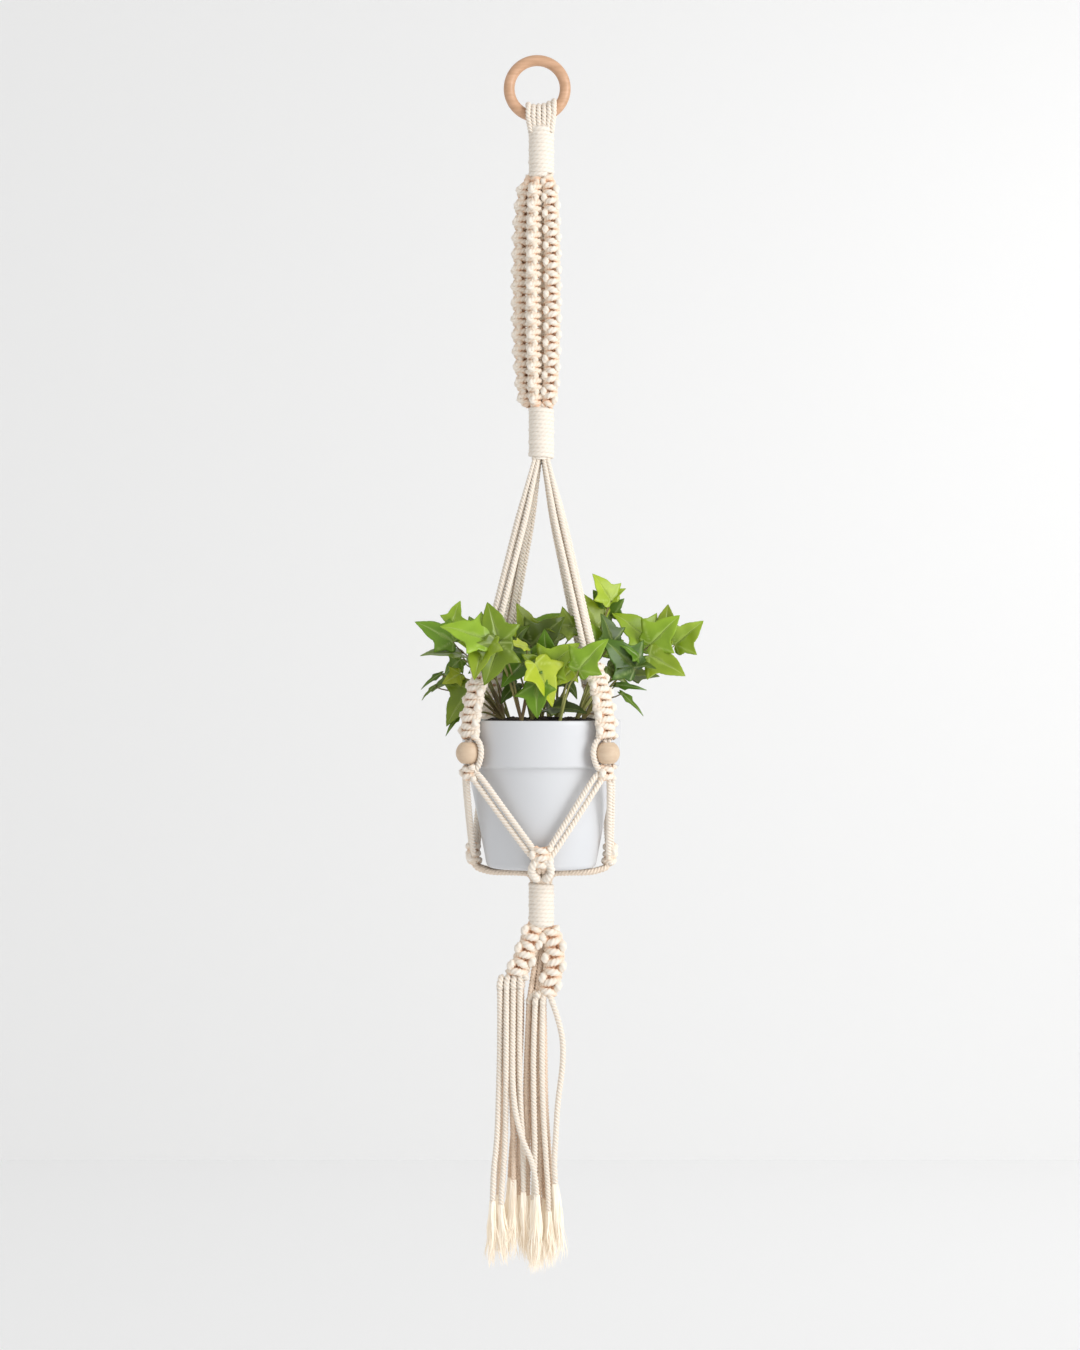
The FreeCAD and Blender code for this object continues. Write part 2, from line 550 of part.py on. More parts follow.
# ---------------------------------------------------------------- ivy
# leaf: base point, tip point, roll of the blade about its midrib in degrees
LEAVES = [
    ((-72, -8, -472), (-101, -14, -453), 10),
    ((-73, 4, -458), (-70, 2, -438), -15),
    ((-66, -12, -482), (-97, -22, -477), 35),
    ((-45, -55, -471), (-77, -62, -455), 0),
    ((-48, -14, -474), (-58, -4, -449), 20),
    ((-34, -51, -474), (-43, -55, -441), -10),
    ((-43, -52, -471), (-56, -67, -499), 15),
    ((-34, -54, -473), (-44, -63, -506), -20),
    ((-8, -37, -483), (-33, -55, -504), 10),
    ((-10, 4, -470), (-18, -2, -440), 25),
    ((-9, 16, -468), (12, 10, -445), -20),
    ((-8, -6, -474), (18, -12, -452), 30),
    ((27, 2, -460), (-1, -8, -457), 0),
    ((5, -24, -490), (1, -31, -463), -30),
    ((4, -40, -495), (26, -52, -473), 15),
    ((1, -38, -496), (-15, -47, -482), -10),
    ((30, -36, -490), (23, -43, -473), 35),
    ((30, -60, -495), (48, -68, -469), 0),
    ((-5, -52, -490), (13, -60, -520), -15),
    ((-4, -50, -506), (-4, -63, -533), 20),
    ((4, -34, -498), (25, -46, -496), 10),
    ((44, 2, -460), (35, -2, -429), 25),
    ((58, 12, -452), (43, 8, -429), -20),
    ((57, 2, -438), (45, -2, -415), 10),
    ((56, 6, -438), (67, 4, -426), -15),
    ((58, -8, -472), (52, -14, -449), 20),
    ((90, 6, -472), (63, 0, -445), 0),
    ((89, -6, -474), (112, -14, -450), 15),
    ((102, 10, -468), (103, 8, -441), -10),
    ((110, 2, -474), (132, -4, -455), 30),
    ((88, -12, -483), (117, -22, -498), 10),
    ((76, -20, -494), (54, -36, -470), -20),
    ((84, 14, -474), (73, 10, -461), 20),
    ((62, -16, -493), (92, -26, -488), -35),
    ((48, -10, -482), (41, -14, -451), 40),
    ((74, 18, -500), (97, 14, -497), -20),
    ((54, -24, -492), (68, -30, -503), 15),
    ((-56, -18, -510), (-80, -28, -535), 10),
    ((-66, -16, -498), (-80, -22, -505), -20),
    ((-71, -4, -502), (-91, -8, -508), 30),
    ((-66, 8, -486), (-82, 6, -497), 0),
    ((6, -28, -526), (35, -40, -523), -25),
    ((12, -12, -520), (18, -16, -530), 30),
    ((-20, -18, -506), (-34, -26, -518), 10),
    ((-4, 38, -478), (-7, 58, -460), 20),
    ((5, 36, -474), (9, 55, -452), -20),
    ((52, 34, -480), (70, 46, -468), 15),
    ((0, 52, -490), (4, 76, -486), 0),
    ((-46, 20, -492), (-64, 30, -482), -15),
    ((-12, -42, -476), (-28, -50, -471), 25),
    ((25, -44, -494), (13, -52, -506), -20),
    ((79, -22, -485), (69, -30, -472), 20),
    ((-28, -8, -478), (-14, -16, -457), -15),
    ((-26, -26, -484), (-46, -28, -497), 15),
    ((-8, -24, -488), (3, -30, -472), 25),
    ((15, -18, -500), (32, -24, -512), -20),
    ((14, -16, -494), (0, -20, -481), 10),
]
# long narrow young leaves at the edges
SLIM_LEAVES = [
    ((62, 6, -507), (86, 2, -509), 20),
    ((66, 0, -514), (85, -6, -530), -15),
    ((-82, -8, -498), (-100, -10, -507), 0),
    ((-87, -8, -508), (-99, -10, -518), 20),
    ((-66, -18, -530), (-79, -24, -546), 0),
]
SLIM_SHARE = 0.28
LEAF_OUTLINE = [(0.0, 0.0), (-0.13, 0.17), (0.0, 0.37), (0.27, 0.55), (0.38, 0.38), (0.66, 0.28),
                (1.0, 0.0)]
# where each main stem leaves the soil; every petiole springs from the nearest one
STEM_FEET = [(-30, -6), (-26, 12), (-16, -42), (-8, -20), (0, 6), (12, -14), (15, -44), (28, -16),
             (34, 8), (6, 26)]


def leaf_blade(base, tip, roll, width):
    """A thin lobed plate from its base to its tip; width is a share of the full leaf's."""
    axis = tip - base
    length = axis.Length
    axis.normalize()
    across = axis.cross(Vector(0, -0.8, 0.6)).normalize()
    across = FreeCAD.Rotation(axis, roll).multVec(across)
    normal = axis.cross(across)
    edge = [(axis * (u * length), across * (v * width * length)) for u, v in LEAF_OUTLINE]
    right_side = [base + along + aside for along, aside in edge]
    left_side = [base + along - aside for along, aside in reversed(edge[1:-1])]
    outline = Part.makePolygon(right_side + left_side + [right_side[0]])
    return Part.Face(outline).extrude(normal * 0.8)


def build_ivy():
    """Leaf blades, and the stems and petioles that carry them."""
    blades = []
    stalks = []
    rows = [(*row, 1.0) for row in LEAVES] + [(*row, SLIM_SHARE) for row in SLIM_LEAVES]
    for base, tip, roll, width in rows:
        base, tip = Vector(*base), Vector(*tip)
        blades.append(leaf_blade(base, tip, roll, width))
        foot_x, foot_y = min(STEM_FEET, key=lambda foot: math.hypot(base.x * 0.4 - foot[0],
                                                                    base.y * 0.7 - foot[1]))
        foot = Vector(foot_x, foot_y, size("soil_crown") + 0.4)
        shoulder = Vector(foot.x * 0.55 + base.x * 0.45, foot.y * 0.55 + base.y * 0.45,
                          foot.z * 0.42 + base.z * 0.58 + 3)
        end = base + (shoulder - base).normalize() * 1.6
        stalks.append(stalk(foot, shoulder, end))
    for name, shapes in (("ivy_leaves", blades), ("ivy_stems", stalks)):
        item = doc.addObject("Part::Feature", name)
        item.Label = name
        item.Shape = Part.makeCompound(shapes)
        item.Placement = FreeCAD.Placement()
    return [doc.getObject("ivy_leaves"), doc.getObject("ivy_stems")]


def stalk(foot, shoulder, end):
    """A thin curved stem."""
    curve = Part.BSplineCurve()
    curve.interpolate([foot, shoulder, end])
    route = Part.Wire(curve.toShape())
    section = Part.Circle(foot, curve.tangent(curve.FirstParameter)[0], 0.8)
    return route.makePipeShell([Part.Wire(section.toShape())], True, False)


# ---------------------------------------------------------------- assembly and export
def build_all():
    parts = build_ring() + build_wraps() + build_upper_sennits() + build_arms()
    parts += [build_bead(arm) for arm in ARMS]
    bead_knots = [build_bead_knot(arm) for arm in ARMS]
    parts += bead_knots
    basket_knots = [build_basket_knot(side, azimuth) for side, azimuth, _ in BASKET_KNOTS]
    knots_together = fuse("basket_knots_together", basket_knots)
    parts += basket_knots
    parts += [build_slings(arm, bead_knot, knots_together)
              for arm, bead_knot in zip(ARMS, bead_knots)]
    parts.append(build_under_pot(knots_together))
    parts += [build_pot(), build_soil()]
    parts += build_tassel()
    parts += build_ivy()
    return parts


PARTS = build_all()
doc.recompute()

for item in doc.Objects:
    if {"Invalid", "Error"} & set(item.State):
        raise RuntimeError(f"{item.Name} failed: {item.State}")
for item in PARTS:
    if item.Shape.isNull() or not item.Shape.isValid():
        raise RuntimeError(f"{item.Name} has no valid shape")
    item.Shape.exportStep(f"parts/{item.Label}.step")
    box = item.Shape.BoundBox
    print(f"{item.Label}: {len(item.Shape.Solids)} solids, volume {item.Shape.Volume:.0f}, "
          f"x {box.XMin:.1f}..{box.XMax:.1f}, y {box.YMin:.1f}..{box.YMax:.1f}, "
          f"z {box.ZMin:.1f}..{box.ZMax:.1f}")
print(f"{len(PARTS)} nodes written")
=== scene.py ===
"""Looks of the hanging macrame planter: knotted cotton cord, pale wood, white pot and ivy.

Lengths are millimetres until a mesh is made. The origin is the hang point on the inside of the
ring, +Z is up and the front faces -Y. Azimuths are degrees round +Z from the front towards +X.
"""
import bpy
import math
import random
import numpy as np
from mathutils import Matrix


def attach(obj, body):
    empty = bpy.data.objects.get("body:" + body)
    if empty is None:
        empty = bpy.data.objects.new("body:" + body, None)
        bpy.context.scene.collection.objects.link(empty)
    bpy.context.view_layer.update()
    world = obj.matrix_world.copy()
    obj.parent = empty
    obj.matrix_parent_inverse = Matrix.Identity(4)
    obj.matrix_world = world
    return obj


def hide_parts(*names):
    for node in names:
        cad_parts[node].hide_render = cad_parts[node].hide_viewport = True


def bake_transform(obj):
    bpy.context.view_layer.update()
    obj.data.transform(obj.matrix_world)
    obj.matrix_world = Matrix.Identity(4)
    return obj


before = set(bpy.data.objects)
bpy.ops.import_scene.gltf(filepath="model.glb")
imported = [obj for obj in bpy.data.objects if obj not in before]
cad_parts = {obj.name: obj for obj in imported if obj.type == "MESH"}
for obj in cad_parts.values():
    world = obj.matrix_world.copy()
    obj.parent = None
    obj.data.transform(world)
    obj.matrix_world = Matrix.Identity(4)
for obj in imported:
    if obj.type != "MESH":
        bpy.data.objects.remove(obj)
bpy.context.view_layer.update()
random.seed(11)

MM = 0.001
CORD = 5.2
PLY_TURN = 8.6
RING_STEP = 1.3
ARMS = {"front_left": 309.0, "front_right": 44.5, "back_right": 140.0, "back_left": 215.0}
BASKET_KNOTS = {"front": 0.0, "right": 90.0, "back": 180.0, "left": 262.0}
SLING_SIDES = {"front_left": ("front", "left"), "front_right": ("front", "right"),
               "back_right": ("right", "back"), "back_left": ("back", "left")}
RING_CENTRE = (-3.4, 0.0, -18.18)
RING_RADIUS = 23.0
WRAP_OUTER = 10.8
ARM_TOP, ARM_KNOTS_TOP, ARM_KNOTS_END = -322.5, -490.6, -551.0
ARM_TOP_OUT, ARM_KNOTS_OUT = 5.1, 58.8
BEAD_HEIGHT, BEAD_CIRCLE = -561.6, 75.6
BEAD_KNOT_TOP, BEAD_KNOT_END = -572.4, -584.4
BASKET_KNOT_HEIGHT, BASKET_CIRCLE = -645.0, 55.6
POT_FLOOR = -657.0
FLOOR_HEIGHT, WALL_PLACE = -1427.0, 3200.0
SKY_STRENGTH = 0.72
# metres: how far in front of the axis, how high, and the height seen at the axis
CAMERA_DISTANCE, CAMERA_HEIGHT, VIEW_HEIGHT = 2.4, -0.4990, 1.107


# -------- camera
def build_camera():
    """Level camera in front of the middle of the planter."""
    camera = bpy.data.objects.new("camera", bpy.data.cameras.new("camera"))
    camera.location = (-0.0011, -CAMERA_DISTANCE, CAMERA_HEIGHT)
    camera.rotation_euler = (math.radians(90), 0, 0)
    camera.data.sensor_fit = "VERTICAL"
    camera.data.sensor_height = 24.0
    camera.data.lens = 24.0 * CAMERA_DISTANCE / VIEW_HEIGHT
    bpy.context.scene.collection.objects.link(camera)
    bpy.context.scene.camera = camera


# -------- small geometry helpers
def polar(radius, azimuth, height):
    angle = math.radians(azimuth)
    return np.array([radius * math.sin(angle), -radius * math.cos(angle), height])


def across_axis(azimuth):
    """Unit vector running round the axis at an azimuth."""
    angle = math.radians(azimuth)
    return np.array([math.cos(angle), math.sin(angle), 0.0])


def inward_axis(azimuth):
    angle = math.radians(azimuth)
    return np.array([-math.sin(angle), math.cos(angle), 0.0])


def unit(vectors):
    return vectors / np.linalg.norm(vectors, axis=-1, keepdims=True)


def even_points(points, step=RING_STEP):
    """Evenly spaced points on a smooth curve through the given ones."""
    given = np.asarray(points, float)
    padded = np.vstack([2 * given[0] - given[1], given, 2 * given[-1] - given[-2]])
    part = np.linspace(0, 1, 10, endpoint=False)[:, None]
    dense = []
    for a, b, c, d in zip(padded, padded[1:], padded[2:], padded[3:]):
        dense.append(0.5 * (2 * b + (c - a) * part + (2 * a - 5 * b + 4 * c - d) * part ** 2
                            + (3 * b - a - 3 * c + d) * part ** 3))
    dense = np.vstack(dense + [given[-1:]])
    steps = np.linalg.norm(np.diff(dense, axis=0), axis=1)
    run = np.concatenate([[0], np.cumsum(steps)])
    count = max(int(round(run[-1] / step)), 3)
    wanted = np.linspace(0, run[-1], count + 1)
    return np.column_stack([np.interp(wanted, run, dense[:, k]) for k in range(3)])


def carried_normals(path):
    """Tangents and normals carried along a path without twisting round it."""
    tangents = unit(np.gradient(path, axis=0))
    start = np.cross(tangents[0], (0.31, 0.95, 0.12))
    normals = [start / np.linalg.norm(start)]
    for tangent in tangents[1:]:
        carried = normals[-1] - tangent * np.dot(normals[-1], tangent)
        normals.append(carried / np.linalg.norm(carried))
    return tangents, np.array(normals)


def ring_faces(first, rings, sides):
    """Quads between successive rings of points, from the number of the first point."""
    faces = []
    for ring in range(rings - 1):
        for side in range(sides):
            a = first + ring * sides + side
            b = first + ring * sides + (side + 1) % sides
            faces.append((a, a + sides, b + sides, b))
    return faces


def link_mesh(name, vertices, faces, smooth=True):
    """A mesh object from points in millimetres."""
    mesh = bpy.data.meshes.new(name)
    mesh.from_pydata([tuple(v) for v in np.asarray(vertices) * MM], [], faces)
    mesh.polygons.foreach_set("use_smooth", [smooth] * len(mesh.polygons))
    mesh.update()
    piece = bpy.data.objects.new(name, mesh)
    bpy.context.scene.collection.objects.link(piece)
    return piece


# -------- twisted cord
def ply_profile(around, ridge):
    """Radius of a three-ply section against angle: 1 at the plies' crowns, ridge sets the depth."""
    ply, offset = 0.56, 0.44
    local = (around + math.pi / 3) % (2 * math.pi / 3) - math.pi / 3
    section = offset * np.cos(local) + np.sqrt(ply ** 2 - (offset * np.sin(local)) ** 2)
    return 1 - ridge * (1 - section)


class CordBundle:
    """Collects twisted cords and makes them one mesh."""

    def __init__(self, sides=15):
        self.sides = sides
        self.vertices, self.faces, self.groove, self.uv = [], [], [], []
        self.count = 0

    def add(self, points, radius=CORD / 2, start_turn=0.0, taper=None, flat=None,
            turn=PLY_TURN, step=RING_STEP, ridge=1.0, warmth=0.0):
        """Adds one cord. taper is a list of radius shares along it, flat squashes it sideways.

        warmth is the least value of its painted shade, a warm tan, for cords that lie deep in the
        work or in shadow.
        """
        path = even_points(points, step)
        tangents, normals = carried_normals(path)
        if flat is not None:
            normals = unit(flat(path) - tangents * np.sum(flat(path) * tangents, axis=1)[:, None])
        sides_axis = np.cross(tangents, normals)
        count = len(path)
        along = np.arange(count) * np.linalg.norm(path[1] - path[0])
        angles = np.arange(self.sides) * 2 * math.pi / self.sides
        profile = ply_profile(angles, ridge)
        twist = start_turn - 2 * math.pi * along / turn
        share = np.ones(count) if taper is None else np.interp(
            np.linspace(0, 1, count), np.linspace(0, 1, len(taper)), taper)
        reach = radius * share[:, None] * profile[None, :]
        heading = angles[None, :] + twist[:, None]
        squash = 1.0 if flat is None else 0.62
        rings = (path[:, None, :]
                 + (reach * np.cos(heading) * squash)[..., None] * normals[:, None, :]
                 + (reach * np.sin(heading))[..., None] * sides_axis[:, None, :])
        self.vertices.append(rings.reshape(-1, 3))
        # painted shade: warm tan in the grooves between the plies, never less than warmth
        groove = np.clip((1 - profile) / 0.56, warmth, 1)
        self.groove.append(np.tile(groove, count))
        self._skin(count, along)
        self.count += count * self.sides
        return path

    def _skin(self, count, along):
        """Faces of the latest cord: its side, with UVs in centimetres along and turns round."""
        sides, first = self.sides, self.count
        self.faces += ring_faces(first, count, sides)
        for low, high in zip(along / 10, along[1:] / 10):
            for side in range(sides):
                left, right = side / sides, (side + 1) / sides
                self.uv += [low, left, high, left, high, right, low, right]
        last = first + (count - 1) * sides
        self.faces.append(tuple(range(first, first + sides)))
        self.faces.append(tuple(reversed(range(last, last + sides))))
        self.uv += [0.0, 0.0] * (2 * sides)

    def paint_shade_inside(self, cords, route, across, back, reach):
        """Paints shade, a warm tan, on the latest cords where their surface lies deep in the sennit
        round a route.
        """
        for number in range(-cords, 0):
            points = self.vertices[number]
            apart = points[:, None, 2] - route[None, :, 2]
            offset = points - route[np.argmin(np.abs(apart), axis=1)]
            out = np.hypot(offset @ across / reach[0], offset @ back / reach[1])
            deep = np.clip((0.95 - out) / 0.42, 0, 1)
            self.groove[number] = np.maximum(self.groove[number], deep)

    def build(self, name):
        piece = link_mesh(name, np.vstack(self.vertices), self.faces)
        groove = piece.data.attributes.new("groove", "FLOAT", "POINT")
        groove.data.foreach_set("value", np.concatenate(self.groove).astype(np.float32))
        layer = piece.data.uv_layers.new(name="cord")
        layer.data.foreach_set("uv", np.array(self.uv, np.float32))
        piece.data.materials.append(MATERIALS["cotton"])
        return piece


def finish_piece(piece, body, *nodes):
    """Puts a piece on its body and hides the CAD nodes it stands for."""
    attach(piece, body)
    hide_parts(*nodes)


def dress(name, material):
    """Gives a CAD node its material."""
    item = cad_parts[name]
    item.data.materials.clear()
    item.data.materials.append(MATERIALS[material])


# -------- knotted sennits
def square_knots(half_knots, width, depth, core, bar_share, front):
    """Cords of a square-knot sennit as (across, back, half-knots down) rows.

    The bar cord crosses in front at every half-knot; the wrapping cord crosses behind and comes
    round to the front at the sides.
    """
    place = np.linspace(0, half_knots, half_knots * 14 + 1)
    swing = np.cos(np.pi * place)
    crossing = 1 - swing ** 2
    down = place + 0.62 * np.sin(2 * np.pi * place) / (2 * np.pi)
    bar = np.column_stack([-bar_share * width * swing, depth * (0.25 - 1.25 * crossing), down])
    wrap = np.column_stack([width * swing, depth * ((1 + front) * crossing - front), down])
    cores = [np.column_stack([np.full_like(place, side), np.zeros_like(place), place])
             for side in core]
    return [bar, wrap], cores


def lay_along(rows, route, across, back, start, pitch, share):
    """Places (across, back, down) rows along a route given as even points."""
    run = np.concatenate([[0], np.cumsum(np.linalg.norm(np.diff(route, axis=0), axis=1))])
    distance = start + rows[:, 2] * pitch
    centre = np.column_stack([np.interp(distance, run, route[:, k]) for k in range(3)])
    scale = share(distance / run[-1])[:, None]
    return (centre + scale * rows[:, :1] * across[None, :] + scale * rows[:, 1:2] * back[None, :])


def full_share(part):
    """The full section at every part of a route."""
    return np.ones_like(part)


def add_sennit(bundle, route, across, back, half_knots, pitch, start=0.0, width=5.3, depth=4.2,
               core=(-1.9, 1.9), radius=2.85, core_radius=2.2, share=full_share, turn=0.0,
               ridge=0.65, bar_share=0.74, front=0.85):
    """Adds a chain of square knots that runs down a route."""
    route = even_points(route, 2.0)
    working, cores = square_knots(half_knots, width, depth, core, bar_share, front)
    for number, rows in enumerate(working):
        bundle.add(lay_along(rows, route, across, back, start, pitch, share), radius,
                   start_turn=turn + 2.1 * number, ridge=ridge, step=1.0)
    for number, rows in enumerate(cores):
        bundle.add(lay_along(rows[::7], route, across, back, start, pitch, share), core_radius,
                   start_turn=turn + number)
    # painted shade: the cords are tinted warm tan where they lie deep inside the sennit
    bundle.paint_shade_inside(len(working) + len(cores), route, across, back,
                       (width + radius, depth + radius))


# -------- materials
MATERIALS = {}


def new_material(name, roughness, **sockets):
    material = bpy.data.materials.new(name)
    material.use_nodes = True
    shader = material.node_tree.nodes["Principled BSDF"]
    shader.inputs["Roughness"].default_value = roughness
    for socket, value in sockets.items():
        shader.inputs[socket.replace("_", " ")].default_value = value
    MATERIALS[name] = material
    return material, shader


def node(material, kind, **settings):
    made = material.node_tree.nodes.new(kind)
    for key, value in settings.items():
        setattr(made, key, value)
    return made


def join(material, source, target):
    material.node_tree.links.new(source, target)


def colour_ramp(material, factor, stops):
    ramp = node(material, "ShaderNodeValToRGB")
    elements = ramp.color_ramp.elements
    while len(elements) < len(stops):
        elements.new(0.5)
    for element, (place, colour) in zip(elements, stops):
        element.position = place
        element.color = (*colour, 1)
    join(material, factor, ramp.inputs["Fac"])
    return ramp.outputs["Color"]


def noise(material, scale, detail, vector=None, stretch=None):
    texture = node(material, "ShaderNodeTexNoise")
    texture.inputs["Scale"].default_value = scale
    texture.inputs["Detail"].default_value = detail
    if vector is None:
        vector = node(material, "ShaderNodeTexCoord").outputs["Object"]
    if stretch is not None:
        mapping = node(material, "ShaderNodeMapping")
        mapping.inputs["Scale"].default_value = stretch
        join(material, vector, mapping.inputs["Vector"])
        vector = mapping.outputs["Vector"]
    join(material, vector, texture.inputs["Vector"])
    return texture.outputs["Fac"]


def add_bump(material, shader, height, strength, distance):
    bump = node(material, "ShaderNodeBump")
    bump.inputs["Strength"].default_value = strength
    bump.inputs["Distance"].default_value = distance
    join(material, height, bump.inputs["Height"])
    join(material, bump.outputs["Normal"], shader.inputs["Normal"])


def mix_colours(material, factor, first, second, blend="MIX"):
    mixer = node(material, "ShaderNodeMix", data_type="RGBA", blend_type=blend)
    if isinstance(factor, float):
        mixer.inputs[0].default_value = factor
    else:
        join(material, factor, mixer.inputs[0])
    for socket, value in ((mixer.inputs[6], first), (mixer.inputs[7], second)):
        if isinstance(value, tuple):
            socket.default_value = (*value, 1)
        else:
            join(material, value, socket)
    return mixer.outputs[2]


def build_cotton():
    """Cream cotton with painted shade: warm tan in the grooves and deep in the work; fine streaks
    of fibre along the plies.
    """
    material, shader = new_material("cotton", 0.95, Specular_IOR_Level=0.1)
    groove = node(material, "ShaderNodeAttribute", attribute_name="groove").outputs["Fac"]
    # painted shade: cream on the plies' crowns, warm tan in the grooves and deep in the work
    base = colour_ramp(material, groove, [(0.0, (0.93, 0.875, 0.80)), (0.45, (0.90, 0.79, 0.67)),
                                          (1.0, (0.92, 0.62, 0.43))])
    uv = node(material, "ShaderNodeUVMap", uv_map="cord").outputs["UV"]
    streaks = noise(material, 1.0, 4.0, uv, (9.0, 34.0, 1.0))
    tint = colour_ramp(material, streaks, [(0.3, (0.95, 0.93, 0.90)), (0.7, (1.0, 1.0, 1.0))])
    join(material, mix_colours(material, 1.0, base, tint, "MULTIPLY"),
         shader.inputs["Base Color"])
    add_bump(material, shader, streaks, 0.6, 0.0006)


def build_fibre():
    """Loose cotton fibres at the frayed ends; a faint glow stands for light scattered in them."""
    material, shader = new_material("fibre", 0.95, Specular_IOR_Level=0.1, Emission_Strength=0.10,
                                    Emission_Color=(1.0, 0.88, 0.72, 1))
    wisps = noise(material, 160.0, 3.0, stretch=(1.0, 1.0, 0.2))
    join(material, colour_ramp(material, wisps, [(0.3, (0.92, 0.82, 0.68)),
                                                 (0.7, (0.98, 0.91, 0.80))]),
         shader.inputs["Base Color"])


def build_wood(name, light, dark, roughness):
    material, shader = new_material(name, roughness)
    grain = noise(material, 55.0, 6.0, stretch=(1.0, 5.0, 7.0))
    join(material, colour_ramp(material, grain, [(0.3, dark), (0.7, light)]),
         shader.inputs["Base Color"])
    add_bump(material, shader, grain, 0.08, 0.0004)


def build_pot_material():
    material, shader = new_material("pot", 0.38, Specular_IOR_Level=0.45)
    cloud = noise(material, 18.0, 3.0)
    join(material, colour_ramp(material, cloud, [(0.3, (0.62, 0.63, 0.65)),
                                                 (0.7, (0.64, 0.65, 0.67))]),
         shader.inputs["Base Color"])


def build_soil_material():
    material, shader = new_material("soil", 0.95)
    crumbs = noise(material, 240.0, 6.0)
    join(material, colour_ramp(material, crumbs, [(0.35, (0.010, 0.007, 0.005)),
                                                  (0.62, (0.055, 0.034, 0.022)),
                                                  (0.80, (0.16, 0.10, 0.06))]),
         shader.inputs["Base Color"])
    add_bump(material, shader, crumbs, 0.8, 0.002)


def build_leaf_material():
    """Ivy blade: its own green per leaf, darker as painted shade for leaves deep in the plant,
    paler veins and mottling.
    """
    material, shader = new_material("leaf", 0.34, Specular_IOR_Level=0.4)
    green = node(material, "ShaderNodeAttribute", attribute_name="green").outputs["Color"]
    vein = node(material, "ShaderNodeAttribute", attribute_name="vein").outputs["Fac"]
    mottle = noise(material, 90.0, 3.0)
    shade = colour_ramp(material, mottle, [(0.3, (0.80, 0.84, 0.70)), (0.7, (1.0, 1.0, 1.0))])
    mottled = mix_colours(material, 1.0, green, shade, "MULTIPLY")
    pale = mix_colours(material, 0.30, green, (0.62, 0.74, 0.28))
    join(material, mix_colours(material, vein, mottled, pale), shader.inputs["Base Color"])
    add_bump(material, shader, vein, 0.35, 0.0006)


def build_stem_material():
    material, shader = new_material("stem", 0.55)
    age = noise(material, 30.0, 2.0)
    join(material, colour_ramp(material, age, [(0.35, (0.17, 0.11, 0.045)),
                                               (0.65, (0.34, 0.36, 0.10))]),
         shader.inputs["Base Color"])


def build_materials():
    build_cotton()
    build_fibre()
    build_wood("ring_wood", (0.66, 0.40, 0.25), (0.52, 0.30, 0.17), 0.4)
    build_wood("bead_wood", (0.68, 0.53, 0.38), (0.61, 0.45, 0.31), 0.5)
    build_pot_material()
    build_soil_material()
    build_leaf_material()
    build_stem_material()


# -------- ring, loops and wraps
LOOP_REACH, LOOP_RISE = 8.2, 8.3
# x where each cord crosses the ring, and how much higher than the others it rides
LOOP_CORDS = [(-10.7, 0.3), (-6.5, -0.1), (-2.2, 0.2), (2.2, 0.0), (6.4, 0.3), (10.3, -0.1)]


def build_ring_loops():
    """Folded cords laid over the bottom of the ring."""
    bundle = CordBundle()
    around = np.radians(np.linspace(-112, 112, 15))
    for number, (x, lift) in enumerate(LOOP_CORDS):
        bar = RING_CENTRE[2] - math.sqrt(RING_RADIUS ** 2 - (x - RING_CENTRE[0]) ** 2)
        foot, low = x * 0.78, min(bar - 8.0, -48.0) - 7
        over = [(x, -LOOP_REACH * math.sin(a), bar + (LOOP_RISE + lift) * math.cos(a))
                for a in around]
        points = [(foot, 5.6, low), (x * 0.95, 7.6, bar - 5), *over,
                  (x * 0.95, -7.6, bar - 5), (foot, -5.6, low)]
        bundle.add(points, 2.42, start_turn=0.9 * number)
    finish_piece(bundle.build("ring_loops_cords"), "hanger", "ring_loops")


def outward(path):
    """Direction away from the planter's axis at each point of a path."""
    return np.column_stack([path[:, 0], path[:, 1], np.zeros(len(path))])


def build_wrap(name, body, top, end, turns, tail_azimuth):
    """Close turns of one flattened cord round the strands."""
    bundle = CordBundle()
    angle = np.linspace(0, turns * 2 * math.pi, turns * 16 + 1) + math.radians(tail_azimuth)
    height = np.linspace(top - 2.0, end + 2.0, len(angle))
    wobble = 0.22 * np.sin(angle * 0.37) + 0.12 * np.sin(angle * 1.3)
    radius = WRAP_OUTER - 1.6 + wobble
    helix = np.column_stack([radius * np.sin(angle), -radius * np.cos(angle), height])
    bundle.add(helix, 2.2, flat=outward, turn=11.0, ridge=0.45, step=1.7)
    finish_piece(bundle.build(f"{name}_turns"), body, name)
    dress(name.replace("wrap", "bundle"), "cotton")


def build_wraps():
    build_wrap("top_wrap", "hanger", -47.2, -91.7, 12, 30)
    build_wrap("mid_wrap", "hanger", -278.9, -322.5, 12, 200)
    build_wrap("low_wrap", "basket", -667.7, -705.4, 10, 120)


# -------- upper sennits
# node, x and y of the middle, turn of the face, first twist
UPPER_SENNITS = [
    ("upper_sennit_right", 9.0, -7.6, 0.0, 0.0),
    ("upper_sennit_front", -6.4, -6.2, -90.0, 1.0),
    ("upper_sennit_left", -17.0, 4.8, -120.0, 2.0),
    ("upper_sennit_back", 4.0, 8.4, 180.0, 3.0),
]


def build_upper_sennits():
    """Four chains of square knots that bow out between the top and middle wraps."""
    stations = [(0.0, 0.42), (0.08, 0.80), (0.30, 0.98), (0.66, 1.0), (0.93, 0.78), (1.0, 0.42)]
    top, end = -89.0, -281.6

    def share(part):
        return np.interp(part, (0.0, 0.07, 0.94, 1.0), (0.55, 1.0, 1.0, 0.55))

    for name, x, y, turn, twist in UPPER_SENNITS:
        route = [(x * out, y * out, top + down * (end - top)) for down, out in stations]
        bundle = CordBundle()
        add_sennit(bundle, route, across_axis(turn), inward_axis(turn), 29, 6.62, start=0.4,
                   share=share, turn=twist)
        finish_piece(bundle.build(f"{name}_cords"), "hanger", name)


